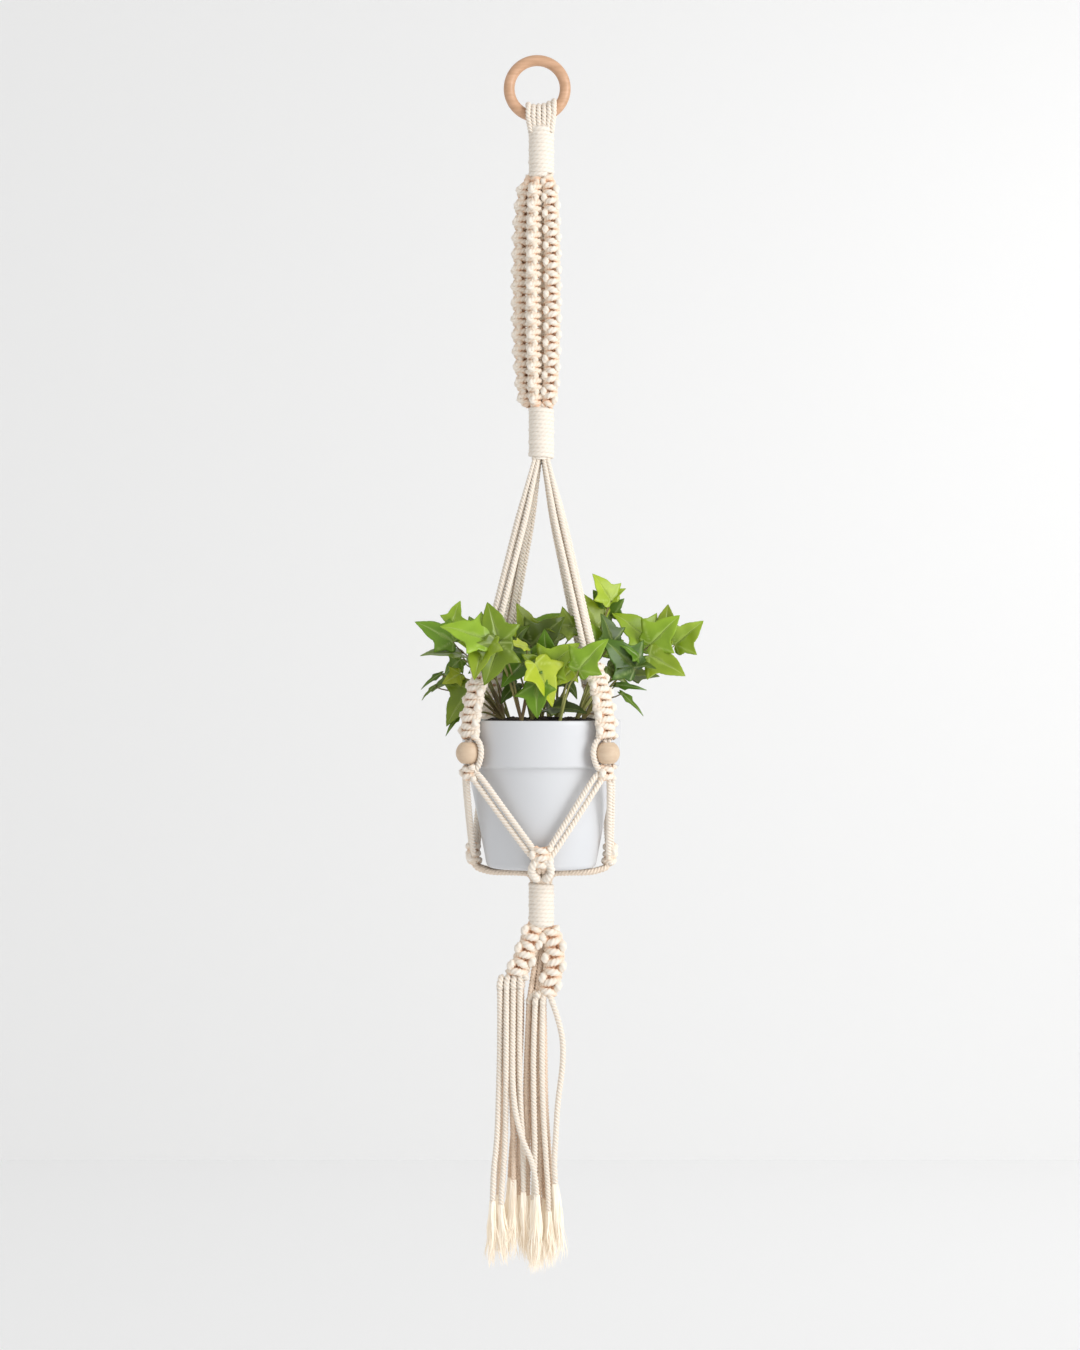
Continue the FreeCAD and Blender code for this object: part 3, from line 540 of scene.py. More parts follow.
# -------- arms
def arm_centre(azimuth, height):
    """Centre of an arm at a height: straight from the wrap, then over the pot's rim."""
    down = (-325.0, ARM_KNOTS_TOP, -512.3, -534.1, ARM_KNOTS_END)
    out = (ARM_TOP_OUT, ARM_KNOTS_OUT, 68.0, 72.7, 74.2)
    return polar(np.interp(-height, [-d for d in down], out), azimuth, height)


def build_arm_cords(name, azimuth):
    """Four straight cords from the middle wrap to the arm's first knot."""
    bundle = CordBundle()
    across, inward = across_axis(azimuth), inward_axis(azimuth)
    # side offset and inward offset at the wrap and at the first knot
    layout = [((-1.9, 0.0), (-5.3, 0.2)), ((0.1, -2.3), (-0.1, -2.9)),
              ((2.0, 0.1), (5.3, 0.0)), ((0.0, 2.2), (0.2, 3.0))]
    for number, (high, low) in enumerate(layout):
        points = []
        for share in (-0.035, 0.0, 0.10, 0.3, 0.5, 0.7, 0.88, 1.0, 1.03):
            height = ARM_TOP + share * (ARM_KNOTS_TOP - ARM_TOP)
            spread = min(max(share, 0.0) * 3.2, 1.0)
            side = high[0] + (low[0] - high[0]) * spread
            depth = high[1] + (low[1] - high[1]) * spread
            out = ARM_TOP_OUT + max(share, 0.0) * (ARM_KNOTS_OUT - ARM_TOP_OUT)
            points.append(polar(out, azimuth, height) + across * side + inward * depth)
        taper = [0.72, 0.85, 1.0, 1.0, 1.0, 1.0, 1.0, 1.0, 1.0]
        bundle.add(points, start_turn=1.3 * number, taper=taper)
    piece = bundle.build(f"{name}_strands")
    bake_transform(piece)
    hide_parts(name)


def build_arm_sennit(name, azimuth):
    bundle = CordBundle()
    heights = (ARM_KNOTS_TOP + 1, -501.0, -512.3, -523.0, -534.1, -543.0, ARM_KNOTS_END - 0.5)
    route = [arm_centre(azimuth, height) for height in heights]
    add_sennit(bundle, route, across_axis(azimuth), inward_axis(azimuth), 10, 6.2, start=0.6,
               width=9.0, depth=4.3, core=(-3.4, 3.4), radius=3.1, core_radius=2.7,
               turn=azimuth, bar_share=0.86, front=0.6)
    finish_piece(bundle.build(f"{name}_cords"), "basket", name)


# -------- beads and the knots under them
def build_bead_knot(name, azimuth, inner_hand):
    """Cords through and past a bead, and the square knot under it."""
    bundle = CordBundle()
    across, inward = across_axis(azimuth), inward_axis(azimuth)
    centre = polar(BEAD_CIRCLE, azimuth, BEAD_HEIGHT)
    top = arm_centre(azimuth, ARM_KNOTS_END)
    for side in (-1.0, 1.0):
        core = [top + across * 2.2 * side, centre + across * 2.1 * side + (0, 0, 6),
                centre + across * 2.1 * side + (0, 0, -6),
                polar(73.8, azimuth, BEAD_KNOT_TOP - 3) + across * 2.2 * side]
        bundle.add(core, 2.1)
    # the visible cord passes the inner side of the bead, the other tucks in behind it
    for hand, aside, behind in ((inner_hand, 12.6, 3.4), (-inner_hand, 10.4, 7.6)):
        start = top + across * 5.6 * hand + (0, 0, 3)
        past = [centre + across * aside * 0.80 * hand + inward * behind + (0, 0, 8.2),
                centre + across * aside * hand + inward * behind,
                centre + across * aside * 0.78 * hand + inward * behind + (0, 0, -8.6)]
        finish = polar(73.2, azimuth, BEAD_KNOT_TOP - 4) + across * 5.4 * hand
        bundle.add([start] + past + [finish], start_turn=hand)
    route = [polar(73.6, azimuth, BEAD_KNOT_TOP + 0.8), polar(73.2, azimuth, -578.4),
             polar(72.2, azimuth, BEAD_KNOT_END - 0.4)]
    add_sennit(bundle, route, across, inward, 2, 6.0, width=6.8, depth=4.8, core=(-2.4, 2.4),
               radius=2.75, core_radius=2.5, turn=azimuth)
    finish_piece(bundle.build(f"{name}_cords"), "basket", name)


# -------- basket
def sling_ends(azimuth, knot_azimuth):
    """Ends of the middle of a pair of sling cords, and which way it turns."""
    hand = math.copysign(1.0, (knot_azimuth - azimuth + 540) % 360 - 180)
    start = polar(72.4, azimuth + hand * math.degrees(7.5 / 72.6), BEAD_KNOT_END + 2)
    end = polar(BASKET_CIRCLE + 0.8, knot_azimuth - hand * math.degrees(6.6 / BASKET_CIRCLE),
                BASKET_KNOT_HEIGHT + 3)
    return start, end, hand


def build_slings(arm):
    """Two pairs of cords from the knot under a bead to the basket knots beside it."""
    bundle = CordBundle()
    azimuth = ARMS[arm]
    gather = polar(72.4, azimuth, BEAD_KNOT_END + 4)
    for side in SLING_SIDES[arm]:
        start, end, hand = sling_ends(azimuth, BASKET_KNOTS[side])
        outward = np.array([start[0] + end[0], start[1] + end[1], 0.0])
        beside = unit(np.cross(end - start, outward))
        knot = polar(BASKET_CIRCLE + 0.8, BASKET_KNOTS[side], BASKET_KNOT_HEIGHT - 2)
        for number, gap in enumerate((3.1, -3.1)):
            low_gap = gap * 0.86
            middle = (start + end) / 2 + beside * gap + unit(outward) * 0.4
            points = [gather * 0.6 + (start + beside * gap) * 0.4, start + beside * gap,
                      middle, end + beside * low_gap,
                      end * 0.45 + knot * 0.55 + beside * low_gap * 0.5]
            bundle.add(points, start_turn=hand + number * 2.0)
    finish_piece(bundle.build(f"sling_cords_{arm}_strands"), "basket", f"sling_cords_{arm}")


def build_basket_knot(side):
    """The square knot where the slings from two arms meet, against the pot."""
    bundle = CordBundle()
    azimuth = BASKET_KNOTS[side]
    route = [polar(BASKET_CIRCLE + 0.8, azimuth, BASKET_KNOT_HEIGHT + 8),
             polar(BASKET_CIRCLE + 1, azimuth, BASKET_KNOT_HEIGHT),
             polar(BASKET_CIRCLE - 1, azimuth, BASKET_KNOT_HEIGHT - 10)]
    add_sennit(bundle, route, across_axis(azimuth), inward_axis(azimuth), 3, 5.8, width=7.4,
               depth=3.6, core=(-4.2, 0.0, 4.2), radius=3.0, core_radius=2.5, turn=azimuth)
    # at the front and back two fat bights close the knot below and turn in under the pot
    bights = (-1.0, 1.0) if side in ("front", "back") else ()
    for hand in bights:
        rows = [(1.8, 56.9, -647.0), (6.4, 57.8, -651.5), (7.5, 56.6, -656.6), (4.7, 54.2, -661.4),
                (3.2, 50.0, -661.6), (3.0, 45.0, -661.0)]
        bundle.add([polar(out, azimuth, height) + across_axis(azimuth) * aside * hand
                    for aside, out, height in rows], 3.7, start_turn=hand, ridge=0.65)
    finish_piece(bundle.build(f"basket_knot_{side}_cords"), "basket", f"basket_knot_{side}")


def build_under_pot():
    """Four cords from each basket knot, bent under the pot and down into the bottom wrap."""
    bundle = CordBundle()
    under = POT_FLOOR - 0.8 - CORD / 2
    for number, azimuth in enumerate(BASKET_KNOTS.values()):
        across = across_axis(azimuth)
        for offset, drop in ((-6.2, 0.4), (-2.1, -0.3), (2.1, 0.2), (6.2, -0.2)):
            points = [polar(55.2, azimuth, BASKET_KNOT_HEIGHT - 5) + across * offset * 0.6,
                      polar(53.4, azimuth, BASKET_KNOT_HEIGHT - 11) + across * offset,
                      polar(47.0, azimuth, under + 1.6 + drop) + across * offset,
                      polar(38.0, azimuth, under + drop) + across * offset,
                      polar(20.0, azimuth, under - 0.4 + drop) + across * offset * 0.8,
                      polar(9.5, azimuth, under - 2.0) + across * offset * 0.55,
                      polar(5.5, azimuth, under - 9.5) + across * offset * 0.4]
            # painted shade: the cords under the pot are tinted warm tan
            bundle.add(points, start_turn=number + offset, warmth=0.5)
    finish_piece(bundle.build("under_pot_strands"), "basket", "under_pot_cords")


# -------- tassel
TASSEL_STRANDS = [
    ("strand_01", [(-34.0, -3.2, -750), (-33.6, -3.2, -792), (-34.8, -3.9, -838),
                   (-36.0, -4.4, -880), (-40.2, -5.0, -912), (-41.0, -5.0, -984)]),
    ("strand_02", [(-28.4, -3.2, -750), (-28.8, -7.4, -798), (-28.8, -6.0, -856),
                   (-30.4, -4.2, -900), (-34.0, -3.5, -934), (-31.0, -3.0, -982)]),
    ("strand_03", [(-22.8, -3.2, -750), (-23.6, -3.8, -796), (-23.4, -9.0, -846),
                   (-16.5, -10.3, -877), (-5.5, -10.3, -900), (-3.0, -9.8, -934),
                   (-0.5, -9.4, -987)]),
    ("strand_04", [(-17.2, -3.2, -750), (-18.0, -3.0, -802), (-17.4, -3.2, -852),
                   (-14.0, -3.6, -892), (-14.8, -4.0, -980)]),
    ("strand_05", [(-32.6, 3.2, -750), (-32.0, 4.0, -806), (-33.2, 4.6, -862),
                   (-34.6, 4.0, -920), (-37.6, 3.0, -976)]),
    ("strand_06", [(-27.2, 3.2, -750), (-26.2, 3.6, -806), (-23.4, 1.4, -862),
                   (-22.4, 0.4, -902), (-23.2, -0.6, -978)]),
    ("strand_07", [(-21.8, 3.2, -750), (-20.8, 4.0, -798), (-18.2, 5.4, -850),
                   (-18.4, 5.2, -900), (-19.4, 5.4, -980)]),
    ("strand_08", [(-16.4, 3.2, -750), (-15.8, 10.0, -796), (-21.4, 10.4, -856),
                   (-26.0, 8.0, -910), (-28.2, 7.0, -972)]),
    ("strand_09", [(-4.8, -5.4, -765), (-6.6, -4.8, -802), (-6.2, -4.6, -850),
                   (-5.0, -4.2, -892), (-6.6, -3.8, -932), (-8.6, -3.6, -984)]),
    ("strand_10", [(1.2, -5.4, -765), (0.4, -4.8, -806), (1.2, -4.4, -850),
                   (3.6, -4.2, -892), (6.4, -3.8, -930), (6.6, -3.2, -986)]),
    ("strand_11", [(8.4, -5.4, -765), (16.2, -4.8, -786), (18.6, -4.4, -812),
                   (13.2, -4.6, -850), (12.0, -4.6, -876), (10.2, -4.4, -900),
                   (12.8, -4.2, -930), (19.4, -4.0, -978)]),
    ("strand_12", [(-9.8, 0.2, -765), (-11.6, 1.6, -804), (-13.0, 1.6, -850),
                   (-10.2, 2.0, -896), (-12.6, 2.0, -984)]),
    ("strand_13", [(-4.0, 0.2, -765), (-2.8, 1.0, -806), (-2.8, 1.4, -852),
                   (-0.8, 2.0, -894), (-3.4, 2.4, -990)]),
    ("strand_14", [(1.8, 0.4, -765), (2.8, 1.2, -804), (3.2, 1.6, -850),
                   (6.4, 2.4, -896), (9.2, 2.4, -932), (10.4, 2.6, -985)]),
    ("strand_15", [(-6.6, 5.9, -765), (-7.6, 7.0, -810), (-8.4, 7.8, -860),
                   (-4.8, 8.2, -905), (-6.6, 8.6, -988)]),
    ("strand_16", [(-0.8, 5.9, -765), (-0.6, 7.2, -810), (0.6, 7.8, -858),
                   (2.8, 8.2, -905), (3.4, 8.8, -990)]),
]
FRAY_LENGTHS = (44, 38, 52, 47, 40, 55, 43, 49)
FRAY_ROOT, FRAY_OVERLAP = 1.9, 9.0
# how many, thickness from and to, and how far each kind of lock stands out from the middle
FRAY_KINDS = [(20, 0.8, 1.35, 2.4), (44, 0.16, 0.34, 3.6)]
# strands behind the others, with painted shade: a warm tan where they lie in the others' shadow
BACK_STRANDS = (5, 6, 7, 8, 12, 13, 14, 15, 16)


def route_line(name, route):
    """The smooth line of a free cord: a NURBS curve on its route, read back as points."""
    curve = bpy.data.curves.new(name, "CURVE")
    curve.dimensions = "3D"
    curve.resolution_u = 24
    spline = curve.splines.new("NURBS")
    spline.points.add(len(route) - 1)
    for point, place in zip(spline.points, route):
        point.co = (*place, 1)
    spline.order_u = 3
    spline.use_endpoint_u = True
    holder = bpy.data.objects.new(name, curve)
    bpy.context.scene.collection.objects.link(holder)
    line = bpy.data.meshes.new_from_object(holder)
    points = np.array([vertex.co[:] for vertex in line.vertices])
    bpy.data.objects.remove(holder)
    bpy.data.meshes.remove(line)
    return points


def fray(name, line, heading):
    """A brush of loose wavy locks and fibres that carries on where the twist stops."""
    vertices, faces = [], []
    start, axis = line[0], unit(line[-1] - line[0])
    length = np.linalg.norm(line[-1] - line[0])
    corners = [np.array([math.cos(a), math.sin(a), 0.0]) for a in np.radians(range(0, 360, 72))]
    for count, thin, thick, spread in FRAY_KINDS:
        for _ in range(count):
            angle, out = random.uniform(0, 2 * math.pi), random.uniform(0, 1) ** 0.6
            root = np.array([math.cos(angle), math.sin(angle), 0.0]) * out * FRAY_ROOT
            flare = random.uniform(0.1, 1.0) * spread
            reach = 6 + length * random.uniform(0.70, 1.12)
            wave, phase = random.uniform(0.6, 2.4), random.uniform(0, 6.3)
            width = random.uniform(thin, thick)
            faces += ring_faces(len(vertices), 10, len(corners))
            for part in np.arange(10) / 9:
                sway = np.array([math.sin(phase + 8 * part), math.cos(1.7 * phase + 7 * part), 0.0])
                place = (start + axis * (reach * part - FRAY_OVERLAP) + root * (1 + flare * part)
                         + sway * wave * part + heading * part * part)
                vertices += [place + width * (1 - part ** 3) * corner for corner in corners]
    piece = link_mesh(name, vertices, faces)
    piece.data.materials.append(MATERIALS["fibre"])
    return piece


def build_strand(name, route, number):
    """One free strand of the tassel with its frayed end."""
    line = route_line(name, route)
    steps = np.linalg.norm(np.diff(line, axis=0), axis=1)
    run = np.concatenate([[0], np.cumsum(steps)])
    twisted_end = run[-1] - FRAY_LENGTHS[number % len(FRAY_LENGTHS)]
    twisted = even_points(line[run <= twisted_end], 2.0)
    loose = line[run > twisted_end - 3]
    bundle = CordBundle()
    shares = [1.0] * 14 + [0.95, 0.78]
    # painted shade: the strands behind the others are tinted warm tan
    warmth = 0.62 if number + 1 in BACK_STRANDS else 0.0
    bundle.add(twisted, start_turn=1.7 * number, taper=shares, warmth=warmth)
    strand = bundle.build(f"{name}_cord")
    heading = np.array([math.sin(2.4 * number), math.cos(1.9 * number), 0.0]) * 4.5
    brush = fray(f"{name}_fray", loose, heading)
    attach(strand, "tassel")
    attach(brush, "tassel")
    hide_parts(name)


def build_tassel_knots():
    """Two short chains of thick square knots under the bottom wrap."""
    # node, route of the middle, spacing of the half-knots, lean of the chain in degrees
    chains = [
        ("tassel_knots_left", [(-3.6, -1, -702), (-7.6, -1.5, -713), (-11.6, -1.5, -724),
                               (-16.0, -1, -735), (-21.5, -0.5, -746)], 7.7, -18.0),
        ("tassel_knots_right", [(4.4, -0.5, -702), (8.8, -1, -714), (10.6, -1, -726),
                                (10.0, -1, -739), (7.0, -1, -752), (2.6, -1, -766)], 8.3, 6.0),
    ]
    for name, route, pitch, lean in chains:
        bundle = CordBundle()
        lean = math.radians(lean)
        across = np.array([math.cos(lean), 0.0, math.sin(lean)])
        length = sum(np.linalg.norm(np.subtract(b, a)) for a, b in zip(route, route[1:]))

        def share(part):
            return np.interp(part, (0.0, 0.16, 0.8, 1.0), (0.6, 1.0, 1.0, 1.1))

        half_knots = int(length // pitch)
        add_sennit(bundle, route, across, np.array([0.0, 1.0, 0.0]), half_knots, pitch,
                   start=(length - half_knots * pitch) / 2, width=7.6, depth=4.6,
                   core=(-4.6, 0.0, 4.6), radius=3.45, core_radius=2.8, share=share)
        if "left" in name:
            add_strand_arches(bundle)
        else:
            add_hidden_strands(bundle)
            add_strand_tops(bundle)
        piece = bundle.build(f"{name}_cords")
        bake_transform(piece)
        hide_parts(name)


def add_strand_arches(bundle):
    """Small bights over the tops of the left strands."""
    for number, x in enumerate((-34.0, -28.4, -22.8, -17.2)):
        lift = (-3.0, -2.2, -1.6, 1.0)[number]
        bundle.add([(x, -3.2, -756), (x, -3.9, -749 + lift), (x + 1.0, -1.6, -744.5 + lift),
                    (x + 1.6, 2.4, -748), (x + 1.2, 3.2, -756)], 2.9, start_turn=number)


def add_strand_tops(bundle):
    """Short cords that carry the right strands up into the end of their chain."""
    for _, route in TASSEL_STRANDS[8:]:
        top, below = np.array(route[0], float), np.array(route[1], float)
        inside = 0.5 * top + 0.5 * np.array([3.0, -1.0, -758.0]) + (0, 0, 3.0)
        # painted shade: the tops going into the chain are tinted a little warm
        bundle.add([inside, top, top + unit(below - top) * 4], 2.75, warmth=0.2)


# top and end of each cord behind the chains
HIDDEN_STRANDS = [((-2.2, 4.0, -706), (-9.8, 0.6, -766)), ((0.4, 5.0, -706), (-4.0, 0.8, -766)),
                  ((-1.0, 7.0, -706), (-6.6, 6.0, -766)), ((2.6, 7.0, -706), (-0.8, 6.0, -766))]


def add_hidden_strands(bundle):
    """Cords behind the chains, from the bottom wrap down to the back strands."""
    for number, (start, end) in enumerate(HIDDEN_STRANDS):
        middle = np.array(start) * 0.55 + np.array(end) * 0.45 + (0.8, 1.4, 0)
        # painted shade: the cords behind the chains are tinted warm tan
        bundle.add([start, middle, end], start_turn=number, warmth=0.6)


# -------- pot and soil
def lathe(name, profile, segments):
    """A turned surface from (radius, height) pairs."""
    vertices = []
    for radius, height in profile:
        for side in range(segments):
            angle = 2 * math.pi * side / segments
            vertices.append((radius * math.cos(angle), radius * math.sin(angle), height))
    faces = [face[::-1] for face in ring_faces(0, len(profile), segments)]
    return link_mesh(name, vertices, faces)


def build_pot():
    """White pot: rounded foot, straight body and a deep rim band with a soft lower lip."""
    profile = [(0.01, -657.0), (30.0, -657.0), (39.6, -657.0), (42.4, -656.4), (44.3, -654.8),
               (45.2, -652.6), (52.4, -614.0), (59.4, -580.0), (60.4, -574.9), (61.2, -574.2),
               (63.4, -573.4), (64.1, -572.6), (64.3, -571.4), (65.0, -540.0), (65.1, -536.8),
               (64.7, -536.0), (64.0, -535.7), (62.9, -535.8), (62.3, -536.6), (62.1, -540.0),
               (58.2, -572.0), (57.6, -578.0), (42.4, -653.0), (36.0, -654.0), (0.01, -654.0)]
    pot = lathe("pot_shell", profile, 128)
    pot.data.materials.append(MATERIALS["pot"])
    finish_piece(pot, "potted_plant", "pot")


def build_soil():
    """Lumpy soil mounded to the rim."""
    rings, segments = 34, 96
    vertices = [(0.0, 0.0, -534.6)]
    for ring in range(1, rings + 1):
        part = ring / rings
        for side in range(segments):
            angle = 2 * math.pi * side / segments
            lump = (1.3 * math.sin(5 * angle + 9 * part) * math.sin(11 * part)
                    + random.uniform(-0.8, 0.9)) * (1 - part ** 6)
            radius = 60.4 * part
            vertices.append((radius * math.cos(angle), radius * math.sin(angle),
                             -534.8 - 5.6 * part ** 5 + lump))
    faces = [(0, 1 + side, 1 + (side + 1) % segments) for side in range(segments)]
    faces += ring_faces(1, rings, segments)
    soil = link_mesh("soil_surface", vertices, faces)
    soil.data.materials.append(MATERIALS["soil"])
    finish_piece(soil, "potted_plant", "soil")


# -------- ivy
# base point, tip point, roll about the midrib in degrees, green from 0 (dark) to 1 (bright): the
# leaf's own tone, and low as painted shade for leaves deep in the plant or behind the arms
LEAVES = [
    ((-72, -8, -472), (-101, -14, -453), 10, 0.55),
    ((-73, 4, -458), (-70, 2, -438), -15, 0.9),
    ((-66, -12, -482), (-97, -22, -477), 35, 0.5),
    ((-45, -55, -471), (-77, -62, -455), 0, 0.85),
    ((-48, -14, -474), (-58, -4, -449), 20, 0.35),
    ((-34, -51, -474), (-43, -55, -441), -10, 0.5),
    ((-43, -52, -471), (-56, -67, -499), 15, 0.75),
    ((-34, -54, -473), (-44, -63, -506), -20, 0.4),
    ((-8, -37, -483), (-33, -55, -504), 10, 0.3),
    ((-10, 4, -470), (-18, -2, -440), 25, 0.6),
    ((-9, 16, -468), (12, 10, -445), -20, 0.6),
    ((-8, -6, -474), (18, -12, -452), 30, 0.2),
    ((27, 2, -460), (-1, -8, -457), 0, 0.5),
    ((5, -24, -490), (1, -31, -463), -30, 0.45),
    ((4, -40, -495), (26, -52, -473), 15, 0.75),
    ((1, -38, -496), (-15, -47, -482), -10, 0.5),
    ((30, -36, -490), (23, -43, -473), 35, 0.5),
    ((30, -60, -495), (48, -68, -469), 0, 0.75),
    ((-5, -52, -490), (13, -60, -520), -15, 1.0),
    ((-4, -50, -506), (-4, -63, -533), 20, 0.55),
    ((4, -34, -498), (25, -46, -496), 10, 0.55),
    ((44, 2, -460), (35, -2, -429), 25, 0.75),
    ((58, 12, -452), (43, 8, -429), -20, 0.35),
    ((57, 2, -438), (45, -2, -415), 10, 0.95),
    ((56, 6, -438), (67, 4, -426), -15, 0.9),
    ((58, -8, -472), (52, -14, -449), 20, 0.15),
    ((90, 6, -472), (63, 0, -445), 0, 0.75),
    ((89, -6, -474), (112, -14, -450), 15, 0.8),
    ((102, 10, -468), (103, 8, -441), -10, 0.6),
    ((110, 2, -474), (132, -4, -455), 30, 0.7),
    ((88, -12, -483), (117, -22, -498), 10, 0.65),
    ((76, -20, -494), (54, -36, -470), -20, 0.2),
    ((84, 14, -474), (73, 10, -461), 20, 0.25),
    ((62, -16, -493), (92, -26, -488), -35, 0.15),
    ((48, -10, -482), (41, -14, -451), 40, 0.75),
    ((74, 18, -500), (97, 14, -497), -20, 0.25),
    ((54, -24, -492), (68, -30, -503), 15, 0.2),
    ((-56, -18, -510), (-80, -28, -535), 10, 0.45),
    ((-66, -16, -498), (-80, -22, -505), -20, 0.75),
    ((-71, -4, -502), (-91, -8, -508), 30, 0.45),
    ((-66, 8, -486), (-82, 6, -497), 0, 0.4),
    ((6, -28, -526), (35, -40, -523), -25, 0.15),
    ((12, -12, -520), (18, -16, -530), 30, 0.1),
    ((-20, -18, -506), (-34, -26, -518), 10, 0.15),
    ((-4, 38, -478), (-7, 58, -460), 20, 0.4),
    ((5, 36, -474), (9, 55, -452), -20, 0.5),
    ((52, 34, -480), (70, 46, -468), 15, 0.45),
    ((0, 52, -490), (4, 76, -486), 0, 0.3),
    ((-46, 20, -492), (-64, 30, -482), -15, 0.4),
    ((-12, -42, -476), (-28, -50, -471), 25, 0.95),
    ((25, -44, -494), (13, -52, -506), -20, 0.85),
    ((79, -22, -485), (69, -30, -472), 20, 0.4),
    ((-28, -8, -478), (-14, -16, -457), -15, 0.2),
    ((-26, -26, -484), (-46, -28, -497), 15, 0.15),
    ((-8, -24, -488), (3, -30, -472), 25, 0.3),
    ((15, -18, -500), (32, -24, -512), -20, 0.15),
    ((14, -16, -494), (0, -20, -481), 10, 0.25),
]
# long narrow young leaves at the edges
SLIM_LEAVES = [
    ((62, 6, -507), (86, 2, -509), 20, 0.35),
    ((66, 0, -514), (85, -6, -530), -15, 0.4),
    ((-82, -8, -498), (-100, -10, -507), 0, 0.3),
    ((-87, -8, -508), (-99, -10, -518), 20, 0.35),
    ((-66, -18, -530), (-79, -24, -546), 0, 0.3),
]
SLIM_SHARE = 0.28
STEM_FEET = [(-30, -6), (-26, 12), (-16, -42), (-8, -20), (0, 6), (12, -14), (15, -44), (28, -16),
             (34, 8), (6, 26)]
# half outline of a blade from its base round to its tip: share along the midrib, share across
LEAF_OUTLINE = [(0.0, 0.0), (-0.11, 0.08), (-0.14, 0.18), (-0.09, 0.30), (0.0, 0.33),
                (0.08, 0.34), (0.17, 0.46), (0.31, 0.61), (0.35, 0.48), (0.39, 0.36),
                (0.45, 0.29), (0.55, 0.27), (0.66, 0.23), (0.78, 0.15), (0.89, 0.08), (1.0, 0.0)]
VEIN_LINES = ((0.0, 0.95), (63.0, 0.64), (107.0, 0.30))
DARK_GREEN = (0.034, 0.068, 0.006)
MID_GREEN = (0.155, 0.265, 0.010)
BRIGHT_GREEN = (0.42, 0.57, 0.035)


def leaf_green(share):
    greens = np.array([DARK_GREEN, MID_GREEN, BRIGHT_GREEN])
    return [float(np.interp(share, (0.0, 0.5, 1.0), greens[:, k])) for k in range(3)]


class LeafMesh:
    """Collects curved lobed blades into one mesh."""

    def __init__(self):
        self.vertices, self.faces, self.green, self.vein = [], [], [], []

    def add(self, base, tip, roll, shade, width=1.0):
        base, tip = np.array(base, float), np.array(tip, float)
        length = np.linalg.norm(tip - base)
        axis = (tip - base) / length
        across = unit(np.cross(axis, (0, -0.8, 0.6)))
        turn = math.radians(roll)
        normal = np.cross(axis, across)
        across, normal = (across * math.cos(turn) + normal * math.sin(turn),
                          normal * math.cos(turn) - across * math.sin(turn))
        fold, droop = random.uniform(0.05, 0.45), random.uniform(0.05, 0.42)
        ripple = random.uniform(0.005, 0.02)
        warmth = random.uniform(0.8, 1.25)
        outline, columns = self._toothed(), 7
        for hand in (-1.0, 1.0):
            first = len(self.vertices)
            for u_edge, v_edge in outline:
                spine = u_edge * 0.86 + 0.05 if 0 < u_edge < 1 else max(u_edge, 0.0)
                for part in np.arange(columns) / (columns - 1):
                    u = spine + (u_edge - spine) * part
                    v = v_edge * width * part
                    lift = fold * v - droop * u * u + ripple * math.sin(11 * u + 5 * hand * v)
                    lift -= 0.5 * droop * v * v
                    self.vertices.append(base + axis * u * length + across * hand * v * length
                                         - normal * lift * length)
                    # the green follows the leaf's shade, low as painted shade for leaves deep in
                    # the plant, and grows towards the tip and edge
                    red, green, blue = leaf_green(shade + 0.16 * (u + v) - 0.12)
                    self.green.append((red * warmth, green, blue, 1.0))
                    self.vein.append(self._vein(u, v))
            for row in range(len(outline) - 1):
                for column in range(columns - 1):
                    a = first + row * columns + column
                    quad = (a, a + 1, a + columns + 1, a + columns)
                    self.faces.append(quad if hand > 0 else quad[::-1])

    @staticmethod
    def _toothed():
        """The outline with a point between each pair, lifted a little into a tooth."""
        rows = [LEAF_OUTLINE[0]]
        for (u0, v0), (u1, v1) in zip(LEAF_OUTLINE, LEAF_OUTLINE[1:]):
            rows.append(((u0 + u1) / 2 - 0.004, (v0 + v1) / 2 + 0.010))
            rows.append((u1, v1))
        return rows

    @staticmethod
    def _vein(u, v):
        strength = 0.0
        for degrees, reach in VEIN_LINES:
            slope = math.radians(degrees)
            along = u * math.cos(slope) + v * math.sin(slope)
            apart = abs(u * math.sin(slope) - v * math.cos(slope))
            if 0 <= along <= reach:
                strength = max(strength, 1 - apart / (0.035 * (1.15 - along)))
        return max(strength, 0.0)

    def build(self, name):
        piece = link_mesh(name, self.vertices, self.faces)
        green = piece.data.attributes.new("green", "FLOAT_COLOR", "POINT")
        green.data.foreach_set("color", np.array(self.green, np.float32).ravel())
        vein = piece.data.attributes.new("vein", "FLOAT", "POINT")
        vein.data.foreach_set("value", np.array(self.vein, np.float32))
        thickness = piece.modifiers.new("thickness", "SOLIDIFY")
        thickness.thickness = 0.0004
        piece.data.materials.append(MATERIALS["leaf"])
        return piece


def add_tube(vertices, faces, points, radii, sides=7):
    """A plain tapering tube."""
    path = even_points(points, 3.0)
    tangents, normals = carried_normals(path)
    others = np.cross(tangents, normals)
    radius = np.interp(np.linspace(0, 1, len(path)), np.linspace(0, 1, len(radii)), radii)
    faces += ring_faces(len(vertices), len(path), sides)
    for place, normal, other, reach in zip(path, normals, others, radius):
        for side in range(sides):
            angle = 2 * math.pi * side / sides
            vertices.append(place + reach * (math.cos(angle) * normal + math.sin(angle) * other))


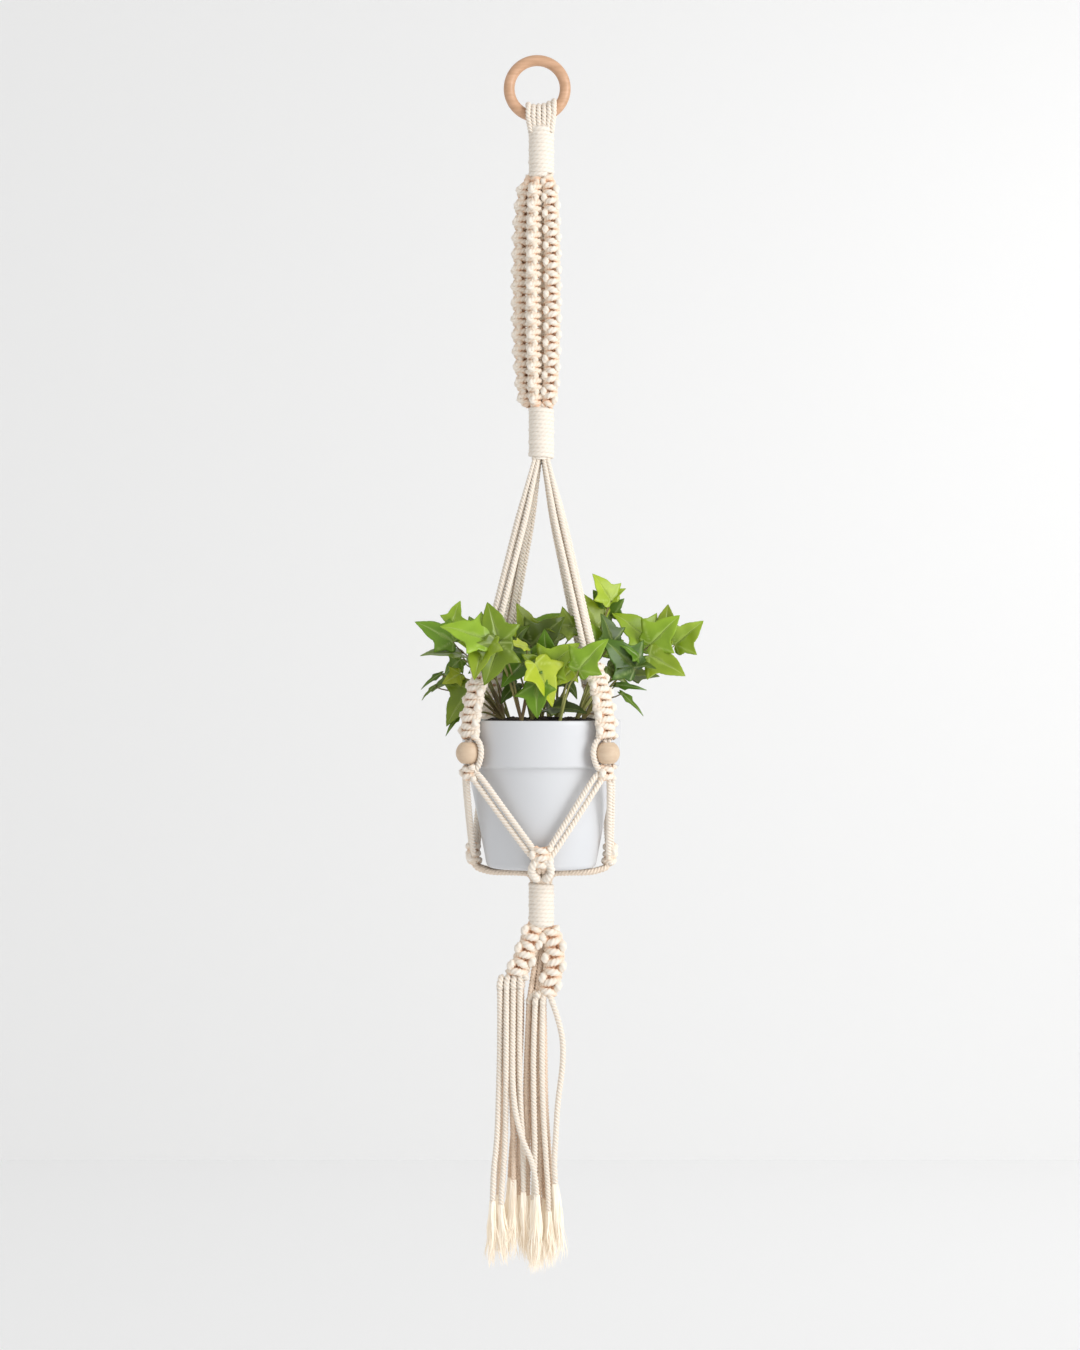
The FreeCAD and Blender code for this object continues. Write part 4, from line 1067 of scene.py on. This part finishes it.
def build_ivy():
    """Blades on petioles that rise from the stems' feet in the soil."""
    blades = LeafMesh()
    vertices, faces = [], []
    rows = [(*row, 1.0) for row in LEAVES] + [(*row, SLIM_SHARE) for row in SLIM_LEAVES]
    for base, tip, roll, shade, width in rows:
        blades.add(base, tip, roll, shade, width)
        base = np.array(base, float)
        foot_x, foot_y = min(STEM_FEET, key=lambda foot: math.hypot(base[0] * 0.4 - foot[0],
                                                                    base[1] * 0.7 - foot[1]))
        foot = np.array([foot_x, foot_y, -536.0])
        shoulder = foot * (0.55, 0.55, 0.42) + base * (0.45, 0.45, 0.58) + (0, 0, 3)
        near = base + unit(shoulder - base) * 6 + (0, 0, -1.0)
        add_tube(vertices, faces, [foot, shoulder, near, base], (1.3, 0.9, 0.7, 0.5))
    finish_piece(blades.build("ivy_blades"), "potted_plant", "ivy_leaves")
    stems = link_mesh("ivy_stalks", vertices, faces)
    stems.data.materials.append(MATERIALS["stem"])
    finish_piece(stems, "potted_plant", "ivy_stems")


# -------- stage and light
def plain_plane(name, corners, colour, roughness):
    piece = link_mesh(name, corners, [(0, 1, 2, 3)], smooth=False)
    material, shader = new_material(name, roughness)
    shader.inputs["Base Color"].default_value = (*colour, 1)
    piece.data.materials.append(material)
    return piece


def area_light(name, place, aim, size, power):
    """A rectangular lamp at a place in metres, turned to shine at another."""
    data = bpy.data.lights.new(name, "AREA")
    data.shape = "RECTANGLE"
    data.size, data.size_y = size
    data.energy = power
    light = bpy.data.objects.new(name, data)
    light.location = place
    bpy.context.scene.collection.objects.link(light)
    away = np.array(place, float) - np.array(aim, float)
    flat = math.hypot(away[0], away[1])
    light.rotation_euler = (math.atan2(flat, away[2]), 0, math.atan2(away[1], away[0])
                            + math.pi / 2)


def build_stage():
    """Pale floor and wall, with the wall beyond the camera's reach when it views from behind."""
    floor = plain_plane("floor", [(-9000, -6000, FLOOR_HEIGHT), (9000, -6000, FLOOR_HEIGHT),
                                  (9000, WALL_PLACE, FLOOR_HEIGHT),
                                  (-9000, WALL_PLACE, FLOOR_HEIGHT)], (0.96, 0.96, 0.96), 0.6)
    wall = plain_plane("wall", [(-9000, WALL_PLACE, FLOOR_HEIGHT), (9000, WALL_PLACE, FLOOR_HEIGHT),
                                (9000, WALL_PLACE, 6000), (-9000, WALL_PLACE, 6000)],
                       (0.90, 0.90, 0.897), 0.8)
    world = bpy.data.worlds.new("world")
    world.use_nodes = True
    world.node_tree.nodes["Background"].inputs["Color"].default_value = (1.0, 1.0, 1.0, 1)
    world.node_tree.nodes["Background"].inputs["Strength"].default_value = SKY_STRENGTH
    bpy.context.scene.world = world
    area_light("key", (2.3, -1.9, 0.35), (0, 0, -0.45), (1.7, 2.0), 61)
    area_light("backdrop", (1.7, 1.6, 0.4), (1.1, 3.2, -0.5), (0.8, 0.8), 6.5)
    bpy.context.scene.view_settings.view_transform = "Standard"


# -------- everything
build_camera()
build_materials()
for number, (name, route) in enumerate(TASSEL_STRANDS):
    build_strand(name, route, number)
build_ring_loops()
build_wraps()
build_upper_sennits()
for arm, azimuth in ARMS.items():
    build_arm_cords(f"arm_cords_{arm}", azimuth)
    build_arm_sennit(f"arm_sennit_{arm}", azimuth)
    build_bead_knot(f"bead_knot_{arm}", azimuth, 1.0 if "left" in arm else -1.0)
    build_slings(arm)
    dress(f"bead_{arm}", "bead_wood")
for side in BASKET_KNOTS:
    build_basket_knot(side)
build_under_pot()
build_tassel_knots()
dress("wooden_ring", "ring_wood")
build_pot()
build_soil()
build_ivy()
build_stage()
